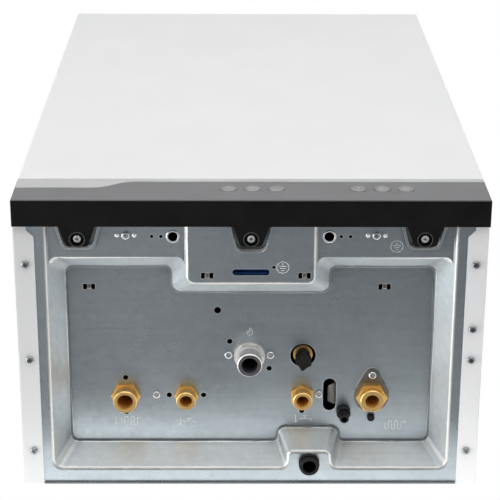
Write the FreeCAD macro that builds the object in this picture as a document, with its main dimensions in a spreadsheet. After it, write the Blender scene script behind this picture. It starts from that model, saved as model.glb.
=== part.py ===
import FreeCAD, Part
import Sketcher
import math
import os
import re

# Wall hung gas boiler, seen as installed: X to the right, Y into the wall, Z up.
# The wall plane is Y = 0 and the lower edge of the casing is Z = 0.

Vector = FreeCAD.Vector
Rotation = FreeCAD.Rotation
Placement = FreeCAD.Placement

doc = FreeCAD.newDocument("gas_boiler")
sheet = doc.addObject("Spreadsheet::Sheet", "sizes")

SIZES = {
    # casing
    "casing_width": 420,
    "casing_depth": 282,
    "casing_height": 680,
    "gauge": 1,
    "plate_gauge": 1.2,
    "cover_depth": 25,
    "seam": 0.6,
    "slip": 0.2,
    "overrun": 5,
    "edge_round": 1.6,
    "flange_width": 18.3,
    "flange_chamfer": 6.4,
    "flange_chamfer_inset": 36.5,
    "return_width": 12,
    "screw_inset": 10.2,
    "screw_front_inset": 62.5,
    "screw_mid": 126.4,
    "screw_extra": 157,
    "screw_back": 34,
    "screw_hole": 4.2,
    # hanging frame and top
    "frame_flange": 22,
    "frame_drop": 1.5,
    "hanger_pitch": 240,
    "hanger_drop": 40,
    "hanger_length": 30,
    "hanger_width": 11,
    "top_lip": 16,
    "flue_depth": 135,
    "flue_bore": 60,
    "flue_wall": 1.5,
    "flue_rise": 16,
    "collar_flange": 122,
    "collar_gauge": 2,
    # control strip
    "strip_height": 52,
    "strip_drop": 5,
    "strip_wall": 2,
    "fascia_gauge": 1.2,
    "fascia_border": 0.8,
    "trim_low": 26.8,
    "trim_high": 43.2,
    "trim_bend_low": 134,
    "trim_bend_high": 111,
    "trim_bend_round": 28,
    "trim_proud": 0.3,
    "button_height": 23.5,
    "button_radius": 7.25,
    "button_gap": 0.35,
    "button_first": -20,
    "button_second": 95,
    "button_pitch": 21.25,
    "button_lip": 1.4,
    "button_collar": 1.2,
    "button_rise": 1.9,
    "button_crown": 0.9,
    "button_round": 1.1,
    "button_stem": 2,
    "button_stem_length": 2.5,
    "button_travel": 1.2,
    "button_rest": 0.1,
    "board_setback": 9.2,
    "board_gauge": 1.6,
    "board_margin_left": 40,
    "board_margin_right": 34.4,
    "board_low": 2,
    "board_high": 45,
    "board_inset": 5,
    "boss_radius": 3,
    "switch_width": 6,
    "switch_height": 3,
    "window_gap": 15.6,
    "window_low": 11,
    "window_high": 36,
    "display_margin": 2,
    "display_recess": 0.6,
    "tab_inset": 57,
    "tab_screw_inset": 37,
    "tab_nose": 6.5,
    "tab_end_width": 19,
    "tab_root_width": 32,
    "tab_corner": 4,
    "tab_step": 0.5,
    "tab_foot_end_width": 15,
    "tab_foot_root_width": 20,
    "tab_well": 11.5,
    "tab_well_depth": 3.2,
    "notch_margin": 4,
    "notch_mid_margin": 7.5,
    "notch_end_width": 25,
    "notch_root_width": 38,
    "notch_corner": 6,
    "notch_depth": 8,
    # pressed bottom plate
    "recess_inset": 28,
    "recess_back": 15,
    "recess_depth": 28,
    "recess_run": 14.5,
    "ledge_depth": 4,
    "ledge_inset": 57.5,
    "ledge_run": 17.8,
    "middle_half": 57,
    "middle_inset": 81.6,
    "bay_centre": 54.5,
    "bay_half_end": 19.8,
    "bay_half_root": 20.8,
    "bay_reach": 17.5,
    "press_corner": 9,
    "bay_corner": 7,
    "floor_bend": 4,
    "rim_bend": 3.5,
    "wall_share": 1.3,
    "draft_flare_share": 1.3,
    "bay_flare_share": 0.53,
    "bay_run_share": 0.8,
    # holes of the bottom plate
    "small_hole": 5,
    "pin_hole": 3,
    "cable_hole": 8.6,
    "cable_hole_inset": 12.2,
    "ledge_screw_inset": 36.6,
    "pin_hole_gap": 10.5,
    "pin_hole_pitch": 8.2,
    "pin_hole_inset": 37.8,
    "wire_slot_half": 13.6,
    "wire_slot_width": 6,
    "wire_slot_inset": 11.3,
    "middle_hole_at": 20.3,
    "middle_hole_lift": 4.8,
    "clip_width": 11,
    "clip_height": 5.5,
    "clip_left": -39,
    "clip_right": 47.6,
    "clip_inset": 8.1,
    "floor_clip_left_inset": 35.2,
    "floor_clip_right_inset": 60.2,
    "floor_clip_inset": 38.3,
    "floor_hole": 6.5,
    "floor_hole_at": -30.1,
    "floor_hole_inset": 37.5,
    "bracket_slot_at": 73.8,
    "bracket_slot_depth": 77.5,
    "bracket_slot_width": 12,
    "bracket_slot_half": 10.5,
    "pipe_gap": 0.5,
    # connection tails
    "pipe_line": 77,
    "flow_at": -115.6,
    "hot_at": -59.4,
    "gas_at": -0.8,
    "gas_line": 118,
    "cold_at": 48.3,
    "return_at": 112.9,
    "heating_tube": 22,
    "heating_bore": 15,
    "return_bore": 13,
    "water_tube": 18,
    "water_bore": 11.6,
    "gas_tube": 22.8,
    "gas_bore": 15,
    "flow_clip_reach": 17.8,
    "hot_clip_reach": 16,
    "cold_clip_reach": 16.5,
    "gas_clip_side": 18.25,
    "gas_clip_reach": 13.7,
    "flow_hex": 24,
    "water_hex": 19.6,
    "return_hex": 25.6,
    "gas_hex": 23.5,
    "gas_collar": 28.5,
    "gas_collar_low": 25,
    "hex_corner_share": 0.57735,
    "flow_end": 13,
    "hot_end": 14.6,
    "cold_end": 14.2,
    "return_end": 15,
    "gas_end": 5.5,
    "flow_hex_low": 25,
    "hot_hex_low": 25.5,
    "cold_hex_low": 25,
    "return_hex_low": 22,
    "gas_hex_low": 20,
    "tail_chamfer": 0.8,
    "nut_height": 7,
    "nut_margin": 4.2,
    "tail_top": 62,
    "arm_tail_top": 94,
    "hot_arm_level": 80,
    "clamp_gauge": 1.4,
    "clamp_big": 17.2,
    "clamp_small": 7.5,
    "clamp_screw_at": 113.3,
    "clamp_screw_depth": 98.2,
    "floor_screw_a_at": -87.3,
    "floor_screw_a_depth": 77.5,
    "gas_screw_left": -20.2,
    "gas_screw_right": 18.5,
    "gas_screw_depth": 118.2,
    "floor_screw_b_at": 64,
    "floor_screw_b_depth": 77.9,
    "head_radius": 3.7,
    "head_height": 2.3,
    "head_round": 1.4,
    "shank_radius": 1.95,
    "shank_length": 9,
    "tab_shank_length": 12,
    "cross_width": 1.1,
    "cross_length": 4,
    "cross_depth": 1.3,
    # filling valve, drains
    "filling_arm_level": 45,
    "filling_arm": 6,
    "knob_waist_round": 2,
    "knob_rest_turn": 9,
    "filling_at": 48.6,
    "filling_line": 117.5,
    "filling_hole": 23.5,
    "filling_body": 9,
    "filling_body_low": 31.5,
    "filling_spindle": 3,
    "spindle_gap": 0.06,
    "knob_tip": 11,
    "knob_top": 27,
    "knob_point": 8.4,
    "knob_waist": 5.2,
    "knob_round": 1.5,
    "knob_hub": 6.5,
    "knob_hub_height": 4,
    "knob_bore_depth": 9,
    "knob_clearance": 0.3,
    "drain_at": 87.1,
    "drain_line": 60.7,
    "drain_flange": 6.6,
    "drain_flange_low": 22,
    "drain_nozzle": 4.3,
    "drain_end": 10,
    "drain_bore": 2.6,
    "drain_top": 58,
    "plug_at": 113,
    "plug_line": 54.6,
    "plug_radius": 3.5,
    "plug_low": 25,
    "relief_at": 54.6,
    "relief_line": 21,
    "relief_tube": 17.6,
    "relief_bore": 12.6,
    "relief_end": -8,
    "relief_bead": 19.4,
    "relief_bead_height": 4,
    "relief_level": 48,
    "relief_turn": 18,
    "relief_valve_at": 100,
    # hydraulics
    "diverter_high": 118,
    "diverter_radius": 18,
    "diverter_wall": 3.5,
    "stem_radius": 2.5,
    "stem_disc": 8.5,
    "stem_disc_gauge": 4,
    "stem_gap": 0.06,
    "stem_out": 3,
    "stem_guide": 10,
    "diverter_arm_level": 92,
    "motor_radius": 19,
    "motor_height": 42,
    "motor_socket": 12,
    "arm_radius": 9,
    "plate_pack_left": -130,
    "plate_pack_right": 60,
    "plate_pack_low": 66,
    "plate_pack_high": 140,
    "plate_pack_back": 8,
    "plate_pack_front": 54,
    "plate_pitch": 6,
    "plate_count": 7,
    "plate_groove": 2.5,
    "return_high": 100,
    "return_radius": 17,
        "pump_axis": 150,
    "pump_back": 60,
    "pump_radius": 44,
    "pump_wall": 5,
    "pump_depth": 34,
    "pump_neck": 14,
    "rotor_radius": 34,
    "rotor_hub": 10,
    "rotor_gauge": 12,
    "vane_gauge": 2.5,
    "vane_count": 6,
    "pump_shaft": 4,
    "shaft_gap": 0.06,
    "pump_motor_radius": 40,
    "pump_motor_length": 55,
    "running_gap": 1,
    "vent_at": 82,
    "vent_seat": 198,
    "vent_neck": 9,
    "vent_radius": 13,
    "vent_height": 46,
    "vent_cap": 6,
    "relief_body": 12,
    "relief_body_low": 36,
    "relief_body_high": 72,
    "relief_arm": 7,
    "relief_arm_level": 56,
    "relief_knob": 17,
    "relief_knob_height": 22,
    "copper_radius": 8,
    "copper_bore": 7,
    "copper_bend": 15,
    "copper_inset": 22,
    "stack_low": 250,
    "copper_step": 34,
    "vessel_margin": 25,
    "vessel_drop": 50,
    "vessel_back": 1.2,
    "vessel_depth": 58,
    "vessel_wall": 1.8,
    "vessel_port": 9,
    "vessel_rim": 5,
    "vessel_bend": 3,
    "vessel_rim_gauge": 6,
    "vessel_crown_share": 0.55,
    # gas and combustion
    "valve_half": 34,
    "valve_low": 150,
    "valve_high": 222,
    "valve_front": 160,
    "valve_back": 95,
    "valve_round": 5,
    "coil_radius": 15,
    "coil_height": 34,
    "gas_pipe_lift": 12,
    "gas_pipe": 16,
    "gas_pipe_bore": 13,
    "chamber_margin": 45,
    "chamber_low_share": 0.0976744,
    "chamber_high_share": 0.5813953,
    "chamber_back": 68,
    "chamber_inset": 47,
    "chamber_gauge": 1.5,
    "bracket_height": 30,
    "burner_rise": 24,
    "burner_height": 46,
    "burner_inset": 47,
    "burner_gauge": 12,
    "burner_pitch": 20,
    "burner_back": 88,
    "burner_margin": 30,
    "burner_slot": 2.4,
    "burner_slot_pitch": 12,
    "burner_tray": 4,
    "manifold_radius": 9,
    "manifold_rise": 10,
    "manifold_inset": 13,
    "injector_radius": 3,
    "injector_length": 6,
    "exchanger_low_share": 0.3674419,
    "exchanger_height": 66,
    "header_width": 15,
    "exchanger_tube_high": 18,
    "exchanger_tube_wide": 11,
    "fin_margin": 4,
    "fin_gauge": 1.2,
    "fin_pitch": 20,
    "exchanger_back": 85,
    "exchanger_margin": 15,
    "exchanger_tube_count": 4,
    "stub_radius": 8,
    "stub_length": 5,
    "hood_high_share": 0.6651163,
    "hood_neck_half": 50,
    "hood_gauge": 1.2,
    "fan_axis_share": 0.8069767,
    "flue_drop": 16.4,
    "fan_room": 3,
    "fan_width": 50,
    "fan_wall": 1.5,
    "fan_rotor_gap": 14,
    "fan_hub": 9,
    "fan_blade_gauge": 1.6,
    "fan_blade_width": 28,
    "fan_blade_reach": 14,
    "fan_disc": 2,
    "fan_play": 8,
    "fan_blade_count": 18,
    "fan_shaft": 3,
    "fan_motor_radius": 26,
    "fan_motor_height": 26,
    "electrode_lift": 10,
    "electrode_pitch": 22,
    "electrode_radius": 3,
    "electrode_length": 34,
    "electrode_tip": 1.1,
    "electrode_wire": 12,
    # electronics inside
    "box_margin": 60,
    "box_low": 64,
    "box_high": 140,
    "box_inset": 75,
    "box_wall": 2,
    "box_ear_low": 80,
    "box_ear_high": 120,
    "box_ear_inset": 6,
    "main_board_margin": 6,
    "main_board_lift": 5,
    "relay_pitch_share": 0.19444,
    "relay_width": 14,
    "relay_height": 16,
    "wire_radius": 1.6,
    "wire_bend": 9,
    "wire_rise": 9,
    "wire_pitch": 4.2,
    "wire_reach": 30,
}

# Places and sizes that follow from those above
PLACES = {
    "screw_line": "casing_width / 2 - screw_inset",
    "flange_chamfer_depth": "casing_depth - flange_chamfer_inset",
    "screw_front": "casing_depth - screw_front_inset",
    "hanger_height": "casing_height - hanger_drop",
    "tab_pitch": "casing_width / 2 - tab_inset",
    "tab_screw": "casing_depth - tab_screw_inset",
    "tab_end": "tab_screw - tab_nose",
    "notch_end": "tab_end - notch_margin",
    "notch_mid_end": "tab_end - notch_mid_margin",
    "recess_half": "casing_width / 2 - recess_inset",
    "ledge_front": "casing_depth - ledge_inset",
    "middle_end": "casing_depth - middle_inset",
    "cable_hole_at": "middle_half + cable_hole_inset",
    "pin_hole_near": "cable_hole_at + pin_hole_gap",
    "pin_hole_far": "pin_hole_near + pin_hole_pitch",
    "ledge_screw_at": "(pin_hole_far + tab_pitch - notch_root_width / 2) / 2",
    "ledge_screw_depth": "casing_depth - ledge_screw_inset",
    "pin_hole_depth": "casing_depth - pin_hole_inset",
    "wire_slot_depth": "middle_end + wire_slot_inset",
    "middle_hole_depth": "wire_slot_depth + middle_hole_lift",
    "clip_depth": "middle_end + clip_inset",
    "floor_clip_left": "-1 * (recess_half - floor_clip_left_inset)",
    "floor_clip_right": "recess_half - floor_clip_right_inset",
    "floor_clip_depth": "ledge_front - floor_clip_inset",
    "floor_hole_depth": "middle_end - floor_hole_inset",
    "window_left": "button_first + 2 * button_pitch + window_gap",
    "window_right": "button_second - window_gap",
    "board_left": "button_first - board_margin_left",
    "board_right": "button_second + 2 * button_pitch + board_margin_right",
    "relay_pitch": "(box_half - main_board_margin) * relay_pitch_share",
    "copper_line": "casing_width / 2 - copper_inset",
    "copper_turn": "stack_low",
    "stack_height": "casing_height - stack_low",
    "vessel_radius": "casing_width / 2 - vessel_margin",
    "vessel_height": "casing_height - vessel_drop - vessel_radius",
    "gas_pipe_turn": "stack_low + gas_pipe_lift",
    "chamber_half": "casing_width / 2 - chamber_margin",
    "chamber_low": "stack_low + stack_height * chamber_low_share",
    "chamber_high": "stack_low + stack_height * chamber_high_share",
    "chamber_front": "casing_depth - chamber_inset",
    "burner_half": "chamber_half - burner_inset",
    "burner_front": "chamber_front - burner_margin",
    "burner_count": "floor(2 * burner_half / burner_pitch) + 1",
    "slot_count": "floor((burner_front - burner_back) / burner_slot_pitch)",
    "manifold_low": "chamber_low + manifold_rise",
    "manifold_line": "chamber_front - manifold_inset",
    "exchanger_low": "stack_low + stack_height * exchanger_low_share",
    "exchanger_half": "chamber_half - header_width",
    "fin_count": "floor(2 * exchanger_half / fin_pitch) - 1",
    "exchanger_front": "chamber_front - exchanger_margin",
    "exchanger_tube_pitch": "(exchanger_front - exchanger_back) / exchanger_tube_count",
    "stub_end": "chamber_half + stub_length",
    "hood_high": "stack_low + stack_height * hood_high_share",
    "fan_axis": "stack_low + stack_height * fan_axis_share",
    "fan_duct_high": "casing_height - flue_drop",
    "fan_radius": "fan_axis - hood_high - fan_room",
    "fan_rotor": "fan_radius - fan_rotor_gap",
    "fan_blade_inner": "fan_rotor - fan_blade_reach",
    "electrode_level": "chamber_low + burner_rise + burner_height + electrode_lift",
    "box_half": "casing_width / 2 - box_margin",
    "box_back": "casing_depth - box_inset",
    "box_ear_half": "casing_width / 2 - box_ear_inset",
}

for row, name in enumerate(SIZES, 1):
    sheet.set(f"A{row}", name)
    sheet.set(f"B{row}", str(SIZES[name]))
    sheet.setAlias(f"B{row}", name)
doc.recompute()

NODES = []


def named(expression):
    """Every plain name in an expression becomes a cell of the sheet, or the rule of a place."""
    def cell(found):
        word = found.group()
        if word in PLACES:
            return f"({named(PLACES[word])})"
        return "sizes." + word if word in SIZES else word

    return re.sub(r"[a-z_][a-z_0-9]*", cell, str(expression))


def value(expression):
    """The number an expression stands for at the present sizes."""
    return float(sheet.evalExpression(named(expression)))


def bind(thing, path, expression):
    thing.setExpression(path, named(expression))


def node(thing, label):
    """Marks an object as a finished piece of the boiler."""
    thing.Label = label
    NODES.append(thing)
    return thing


def seat(thing, x, y, z, turn=None):
    """Puts an object at a place given by three expressions."""
    thing.Placement = Placement(Vector(), turn or Rotation())
    bind(thing, "Placement.Base.x", x)
    bind(thing, "Placement.Base.y", y)
    bind(thing, "Placement.Base.z", z)
    return thing


# Directions a turned or drilled piece can point in.
UP = Rotation()
DOWN = Rotation(Vector(1, 0, 0), 180)
FORWARD = Rotation(Vector(1, 0, 0), 90)
BACKWARD = Rotation(Vector(1, 0, 0), -90)
RIGHT = Rotation(Vector(0, 1, 0), 90)
LEFT = Rotation(Vector(0, 1, 0), -90)


# Primitive solids and their joins


def box(x, y, z):
    """A block between three pairs of limits."""
    block = doc.addObject("Part::Box", "block")
    for side, limits in (("Length", x), ("Width", y), ("Height", z)):
        bind(block, side, f"({limits[1]}) - ({limits[0]})")
    return seat(block, x[0], y[0], z[0])


def rod(x, y, z, radius, length, turn=None):
    """A cylinder that starts at a place and runs along a direction."""
    piece = doc.addObject("Part::Cylinder", "rod")
    bind(piece, "Radius", radius)
    bind(piece, "Height", length)
    return seat(piece, x, y, z, turn)


def taper(x, y, z, first, second, length, turn=None):
    piece = doc.addObject("Part::Cone", "taper")
    bind(piece, "Radius1", first)
    bind(piece, "Radius2", second)
    bind(piece, "Height", length)
    return seat(piece, x, y, z, turn)


def join(pieces):
    """One solid from several that run into each other."""
    whole = doc.addObject("Part::MultiFuse", "joined")
    whole.Shapes = pieces
    whole.Refine = True
    return whole


def cut(base, tools):
    """A solid with the tools taken out of it."""
    rest = doc.addObject("Part::Cut", "trimmed")
    rest.Base = base
    rest.Tool = tools[0] if len(tools) == 1 else join(tools)
    rest.Refine = True
    return rest


def group(pieces):
    """Separate solids kept as one piece."""
    whole = doc.addObject("Part::Compound", "set")
    whole.Links = pieces
    return whole


# Sketched bodies


def new_body():
    return doc.addObject("PartDesign::Body", "body")


def start_sketch(body, plane, level):
    sketch = body.newObject("Sketcher::SketchObject", "sketch")
    origin = [feature for feature in body.Origin.OriginFeatures if feature.Role == plane]
    sketch.AttachmentSupport = [(origin[0], "")]
    sketch.MapMode = "FlatFace"
    bind(sketch, "AttachmentOffset.Base.z", level)
    return sketch


def fix(sketch, kind, spots, expression):
    """A measured constraint whose value follows the sheet."""
    number = sketch.addConstraint(Sketcher.Constraint(kind, *spots, value(expression)))
    bind(sketch, f"Constraints[{number}]", expression)


def outline(body, plane, points, level="0", more=()):
    """Closed sketch of straight sides; a third entry of a point rounds that corner."""
    sketch = start_sketch(body, plane, level)
    for loop in (points, *more):
        add_loop(sketch, loop)
    return sketch


def add_loop(sketch, points):
    count = len(points)
    spots = [Vector(value(point[0]), value(point[1]), 0) for point in points]
    radii = [value(point[2]) if len(point) > 2 else 0 for point in points]
    entries = []
    exits = []
    middles = []
    for index in range(count):
        here = spots[index]
        back = (spots[index - 1] - here).normalize()
        ahead = (spots[(index + 1) % count] - here).normalize()
        half = back.getAngle(ahead) / 2
        reach = radii[index] / math.tan(half)
        entries.append(here + back * reach)
        exits.append(here + ahead * reach)
        inward = (back + ahead).normalize()
        middles.append(here + inward * (radii[index] / math.sin(half) - radii[index]))
    lines = []
    for index in range(count):
        after = (index + 1) % count
        lines.append(sketch.addGeometry(Part.LineSegment(exits[index], entries[after]), False))
    for index in range(count):
        before = lines[index - 1]
        after = lines[index]
        if not radii[index]:
            sketch.addConstraint(Sketcher.Constraint("Coincident", before, 2, after, 1))
            fix(sketch, "DistanceX", (-1, 1, after, 1), points[index][0])
            fix(sketch, "DistanceY", (-1, 1, after, 1), points[index][1])
            continue
        first_end = entries[index]
        last_end = exits[index]
        if (middles[index] - first_end).cross(last_end - first_end).z < 0:
            first_end = exits[index]
            last_end = entries[index]
        arc = sketch.addGeometry(Part.Arc(first_end, middles[index], last_end), False)
        corner = sketch.addGeometry(Part.Point(spots[index]), True)
        from_line = (sketch.Geometry[arc].StartPoint - entries[index]).Length
        to_line = (sketch.Geometry[arc].StartPoint - exits[index]).Length
        first, last = (1, 2) if from_line < to_line else (2, 1)
        sketch.addConstraint(Sketcher.Constraint("Tangent", before, 2, arc, first))
        sketch.addConstraint(Sketcher.Constraint("Tangent", arc, last, after, 1))
        sketch.addConstraint(Sketcher.Constraint("PointOnObject", corner, 1, before))
        sketch.addConstraint(Sketcher.Constraint("PointOnObject", corner, 1, after))
        fix(sketch, "DistanceX", (-1, 1, corner, 1), points[index][0])
        fix(sketch, "DistanceY", (-1, 1, corner, 1), points[index][1])
        fix(sketch, "Radius", (arc,), points[index][2])


def rings(body, plane, circles, level="0"):
    """Sketch of round holes, each given by its place and its diameter."""
    sketch = start_sketch(body, plane, level)
    for x, y, diameter in circles:
        centre = Vector(value(x), value(y), 0)
        ring = sketch.addGeometry(Part.Circle(centre, Vector(0, 0, 1), value(diameter) / 2), False)
        fix(sketch, "DistanceX", (-1, 1, ring, 3), x)
        fix(sketch, "DistanceY", (-1, 1, ring, 3), y)
        fix(sketch, "Diameter", (ring,), diameter)
    return sketch


def slots(body, plane, runs, level="0"):
    """Sketch of long holes with round ends: first end, second end and both end radii."""
    sketch = start_sketch(body, plane, level)
    for first_x, first_y, second_x, second_y, first_size, second_size in runs:
        first = Vector(value(first_x), value(first_y), 0)
        second = Vector(value(second_x), value(second_y), 0)
        big = value(first_size)
        small = value(second_size)
        along = (second - first).normalize()
        side = Vector(-along.y, along.x, 0)
        lean = (big - small) / (second - first).Length
        aim = math.sqrt(1 - lean * lean)
        left = along * lean + side * aim
        right = along * lean - side * aim
        curve = Part.Arc(first + left * big, first - along * big, first + right * big)
        near_end = sketch.addGeometry(curve, False)
        line = Part.LineSegment(first + right * big, second + right * small)
        lower = sketch.addGeometry(line, False)
        curve = Part.Arc(second + right * small, second + along * small, second + left * small)
        far_end = sketch.addGeometry(curve, False)
        line = Part.LineSegment(second + left * small, first + left * big)
        upper = sketch.addGeometry(line, False)
        order = []
        for arc, start, size in ((near_end, first + left * big, big), (far_end, second + right * small, small)):
            begins = (sketch.Geometry[arc].StartPoint - start).Length < size / 2
            order.append((1, 2) if begins else (2, 1))
        sketch.addConstraint(Sketcher.Constraint("Tangent", near_end, order[0][1], lower, 1))
        sketch.addConstraint(Sketcher.Constraint("Tangent", lower, 2, far_end, order[1][0]))
        sketch.addConstraint(Sketcher.Constraint("Tangent", far_end, order[1][1], upper, 1))
        sketch.addConstraint(Sketcher.Constraint("Tangent", upper, 2, near_end, order[0][0]))
        fix(sketch, "DistanceX", (-1, 1, near_end, 3), first_x)
        fix(sketch, "DistanceY", (-1, 1, near_end, 3), first_y)
        fix(sketch, "DistanceX", (-1, 1, far_end, 3), second_x)
        fix(sketch, "DistanceY", (-1, 1, far_end, 3), second_y)
        fix(sketch, "Radius", (near_end,), first_size)
        fix(sketch, "Radius", (far_end,), second_size)
    return sketch


def pad(body, sketch, length, back=False):
    feature = body.newObject("PartDesign::Pad", "pad")
    feature.Profile = sketch
    bind(feature, "Length", length)
    feature.Reversed = back
    return feature


def pocket(body, sketch, depth, ahead=False):
    """Takes material out against the plane of the sketch, or ahead of it."""
    feature = body.newObject("PartDesign::Pocket", "pocket")
    feature.Profile = sketch
    bind(feature, "Length", depth)
    feature.Reversed = ahead
    return feature


def spin(body, sketch):
    """Turns a sketch of radius and height about its upright axis."""
    feature = body.newObject("PartDesign::Revolution", "turned")
    feature.Profile = sketch
    feature.ReferenceAxis = (sketch, ["V_Axis"])
    feature.Angle = 360
    return feature


def loft(body, kind, first, second):
    feature = body.newObject("PartDesign::" + kind, "pressed")
    feature.Profile = first
    feature.Sections = [second]
    feature.Ruled = True
    return feature


def soften(body, kind, test, size):
    """Rounds or chamfers those edges of a body that pass a test of their box."""
    doc.recompute()
    base = body.Tip
    found = [number for number, edge in enumerate(base.Shape.Edges, 1) if test(edge.BoundBox)]
    feature = body.newObject("PartDesign::" + kind, "softened")
    feature.Base = (base, [f"Edge{number}" for number in found])
    bind(feature, "Radius" if kind == "Fillet" else "Size", size)
    return feature


def near(first, second):
    return abs(first - second) < value("slip") / 10


def turned(profile, x, y, z, turn=None):
    """A lathe piece from points of radius and height, pointing along a direction."""
    body = new_body()
    spin(body, outline(body, "XZ_Plane", profile))
    return seat(body, x, y, z, turn)


def tube(route, radius, bore, bend):
    """A bent pipe along corner points, with round bends."""
    spots = [Vector(*[value(part) for part in point]) for point in route]
    bend_size = value(bend)
    edges = []
    start = spots[0]
    for index in range(1, len(spots) - 1):
        here = spots[index]
        back = (spots[index - 1] - here).normalize()
        ahead = (spots[index + 1] - here).normalize()
        half = back.getAngle(ahead) / 2
        reach = bend_size / math.tan(half)
        middle = here + (back + ahead).normalize() * (bend_size / math.sin(half) - bend_size)
        edges.append(Part.LineSegment(start, here + back * reach).toShape())
        edges.append(Part.Arc(here + back * reach, middle, here + ahead * reach).toShape())
        start = here + ahead * reach
    edges.append(Part.LineSegment(start, spots[-1]).toShape())
    path = Part.Wire(edges)
    aim = spots[1] - spots[0]
    solids = []
    for size in (radius, bore):
        if size:
            ring = Part.Wire([Part.Circle(spots[0], aim, value(size)).toShape()])
            solids.append(path.makePipeShell([ring], True, True))
    shape = solids[0]
    if bore:
        shape = shape.cut(solids[1])
    piece = doc.addObject("Part::Feature", "pipe")
    piece.Shape = shape
    return piece


# Levels and limits that many pieces share

HALF = "casing_width / 2"
INNER = "(casing_width / 2 - gauge - slip)"
LEDGE = "(gauge + ledge_depth)"
FLOOR = "(gauge + recess_depth)"
FLOOR_TOP = "(gauge + recess_depth + plate_gauge)"
PANEL_FRONT = "(casing_depth - cover_depth - seam)"
PLATE_FRONT = "(casing_depth - cover_depth - seam - gauge - slip)"
STRIP_BACK = "(casing_depth - cover_depth)"
FASCIA_BACK = "(casing_depth - fascia_gauge)"
WALL_INNER = "(casing_depth - fascia_gauge - strip_wall)"
TOP_UNDER = "(casing_height - gauge - plate_gauge)"
BELOW = "-1 * overrun"
THROUGH = "overrun * 2 + gauge + recess_depth + plate_gauge"


def rectangle(left, right, low, high):
    return [(left, low), (right, low), (right, high), (left, high)]


# Hanging frame at the back

frame = new_body()
pad(frame, outline(frame, "XY_Plane", [
    (f"-1 * {INNER}", "0"),
    (INNER, "0"),
    (INNER, "-1 * frame_flange"),
    (f"{INNER} - plate_gauge", "-1 * frame_flange"),
    (f"{INNER} - plate_gauge", "-1 * plate_gauge"),
    (f"-1 * {INNER} + plate_gauge", "-1 * plate_gauge"),
    (f"-1 * {INNER} + plate_gauge", "-1 * frame_flange"),
    (f"-1 * {INNER}", "-1 * frame_flange"),
], "gauge + plate_gauge"), f"{TOP_UNDER} - gauge - plate_gauge")
lower_lip = rectangle(f"-1 * {HALF} + flange_width + slip * 2", f"{HALF} - flange_width - slip * 2",
                      "-1 * frame_drop", "gauge + plate_gauge * 2")
pad(frame, outline(frame, "XZ_Plane", lower_lip), "plate_gauge")
pocket(frame, slots(frame, "XZ_Plane", [
    (f"{side} * hanger_pitch / 2 - hanger_length / 2 + hanger_width / 2", "hanger_height",
     f"{side} * hanger_pitch / 2 + hanger_length / 2 - hanger_width / 2", "hanger_height",
     "hanger_width / 2", "hanger_width / 2")
    for side in (-1, 1)
], BELOW), "overrun * 2", ahead=True)
node(frame, "hanging_frame")

# Painted side panels with their lower, upper and front bends


def side_panel(side, depths):
    panel = new_body()
    edge = f"{side} * {HALF}"
    wall = f"{side} * ({HALF} - gauge)"
    flange = f"{side} * ({HALF} - flange_width)"
    inward = f"{side} * ({HALF} - gauge - return_width)"
    pad(panel, outline(panel, "XZ_Plane", [
        (edge, "0"),
        (flange, "0"),
        (flange, "gauge"),
        (wall, "gauge"),
        (wall, "casing_height - gauge"),
        (inward, "casing_height - gauge"),
        (inward, "casing_height"),
        (edge, "casing_height"),
    ]), PANEL_FRONT)
    front = rectangle(inward, edge, "0", "casing_height")
    pad(panel, outline(panel, "XZ_Plane", front, f"{PANEL_FRONT} - gauge"), "gauge")
    pocket(panel, outline(panel, "XY_Plane", [
        (f"{side} * ({HALF} - flange_width - overrun)", "-1 * flange_chamfer_depth"),
        (flange, "-1 * flange_chamfer_depth"),
        (f"{flange} + {side} * flange_chamfer", "-1 * (flange_chamfer_depth + flange_chamfer)"),
        (f"{flange} + {side} * flange_chamfer", f"-1 * ({PANEL_FRONT} + overrun)"),
        (f"{side} * ({HALF} - flange_width - overrun)", f"-1 * ({PANEL_FRONT} + overrun)"),
    ], BELOW), "overrun + gauge", ahead=True)
    holes = [(f"{side} * screw_line", f"-1 * {depth}", "screw_hole") for depth in depths]
    pocket(panel, rings(panel, "XY_Plane", holes, BELOW), "overrun * 2", ahead=True)
    outer = value(edge)
    top = value("casing_height")
    long = value("cover_depth")

    def outer_bend(limits):
        on_side = near(limits.XMin, outer) and near(limits.XMax, outer)
        level = near(limits.ZMin, limits.ZMax)
        return on_side and level and limits.YLength > long and (near(limits.ZMin, 0) or near(limits.ZMin, top))

    soften(panel, "Fillet", outer_bend, "edge_round")
    return panel


LEFT_SCREWS = ["screw_front", "screw_mid", "screw_back"]
RIGHT_SCREWS = ["screw_front", "screw_extra", "screw_mid", "screw_back"]
node(side_panel(-1, LEFT_SCREWS), "side_panel_left")
node(side_panel(1, RIGHT_SCREWS), "side_panel_right")

# Top plate with a front lip and the flue opening

top_plate = new_body()
pad(top_plate, outline(top_plate, "YZ_Plane", [
    ("0", TOP_UNDER),
    ("0", "casing_height - gauge"),
    (f"-1 * {PLATE_FRONT}", "casing_height - gauge"),
    (f"-1 * {PLATE_FRONT}", f"{TOP_UNDER} - top_lip"),
    (f"-1 * {PLATE_FRONT} + plate_gauge", f"{TOP_UNDER} - top_lip"),
    (f"-1 * {PLATE_FRONT} + plate_gauge", TOP_UNDER),
], f"-1 * {INNER}"), f"2 * {INNER}")
flue_hole = [("0", "-1 * flue_depth", "flue_bore + 2 * flue_wall + 2 * pipe_gap")]
pocket(top_plate, rings(top_plate, "XY_Plane", flue_hole, "casing_height + overrun"), "overrun * 2 + gauge + plate_gauge")
node(top_plate, "top_plate")

# Pressed bottom plate: deep recess for the pipes, two shallow ledges and a raised middle


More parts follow.
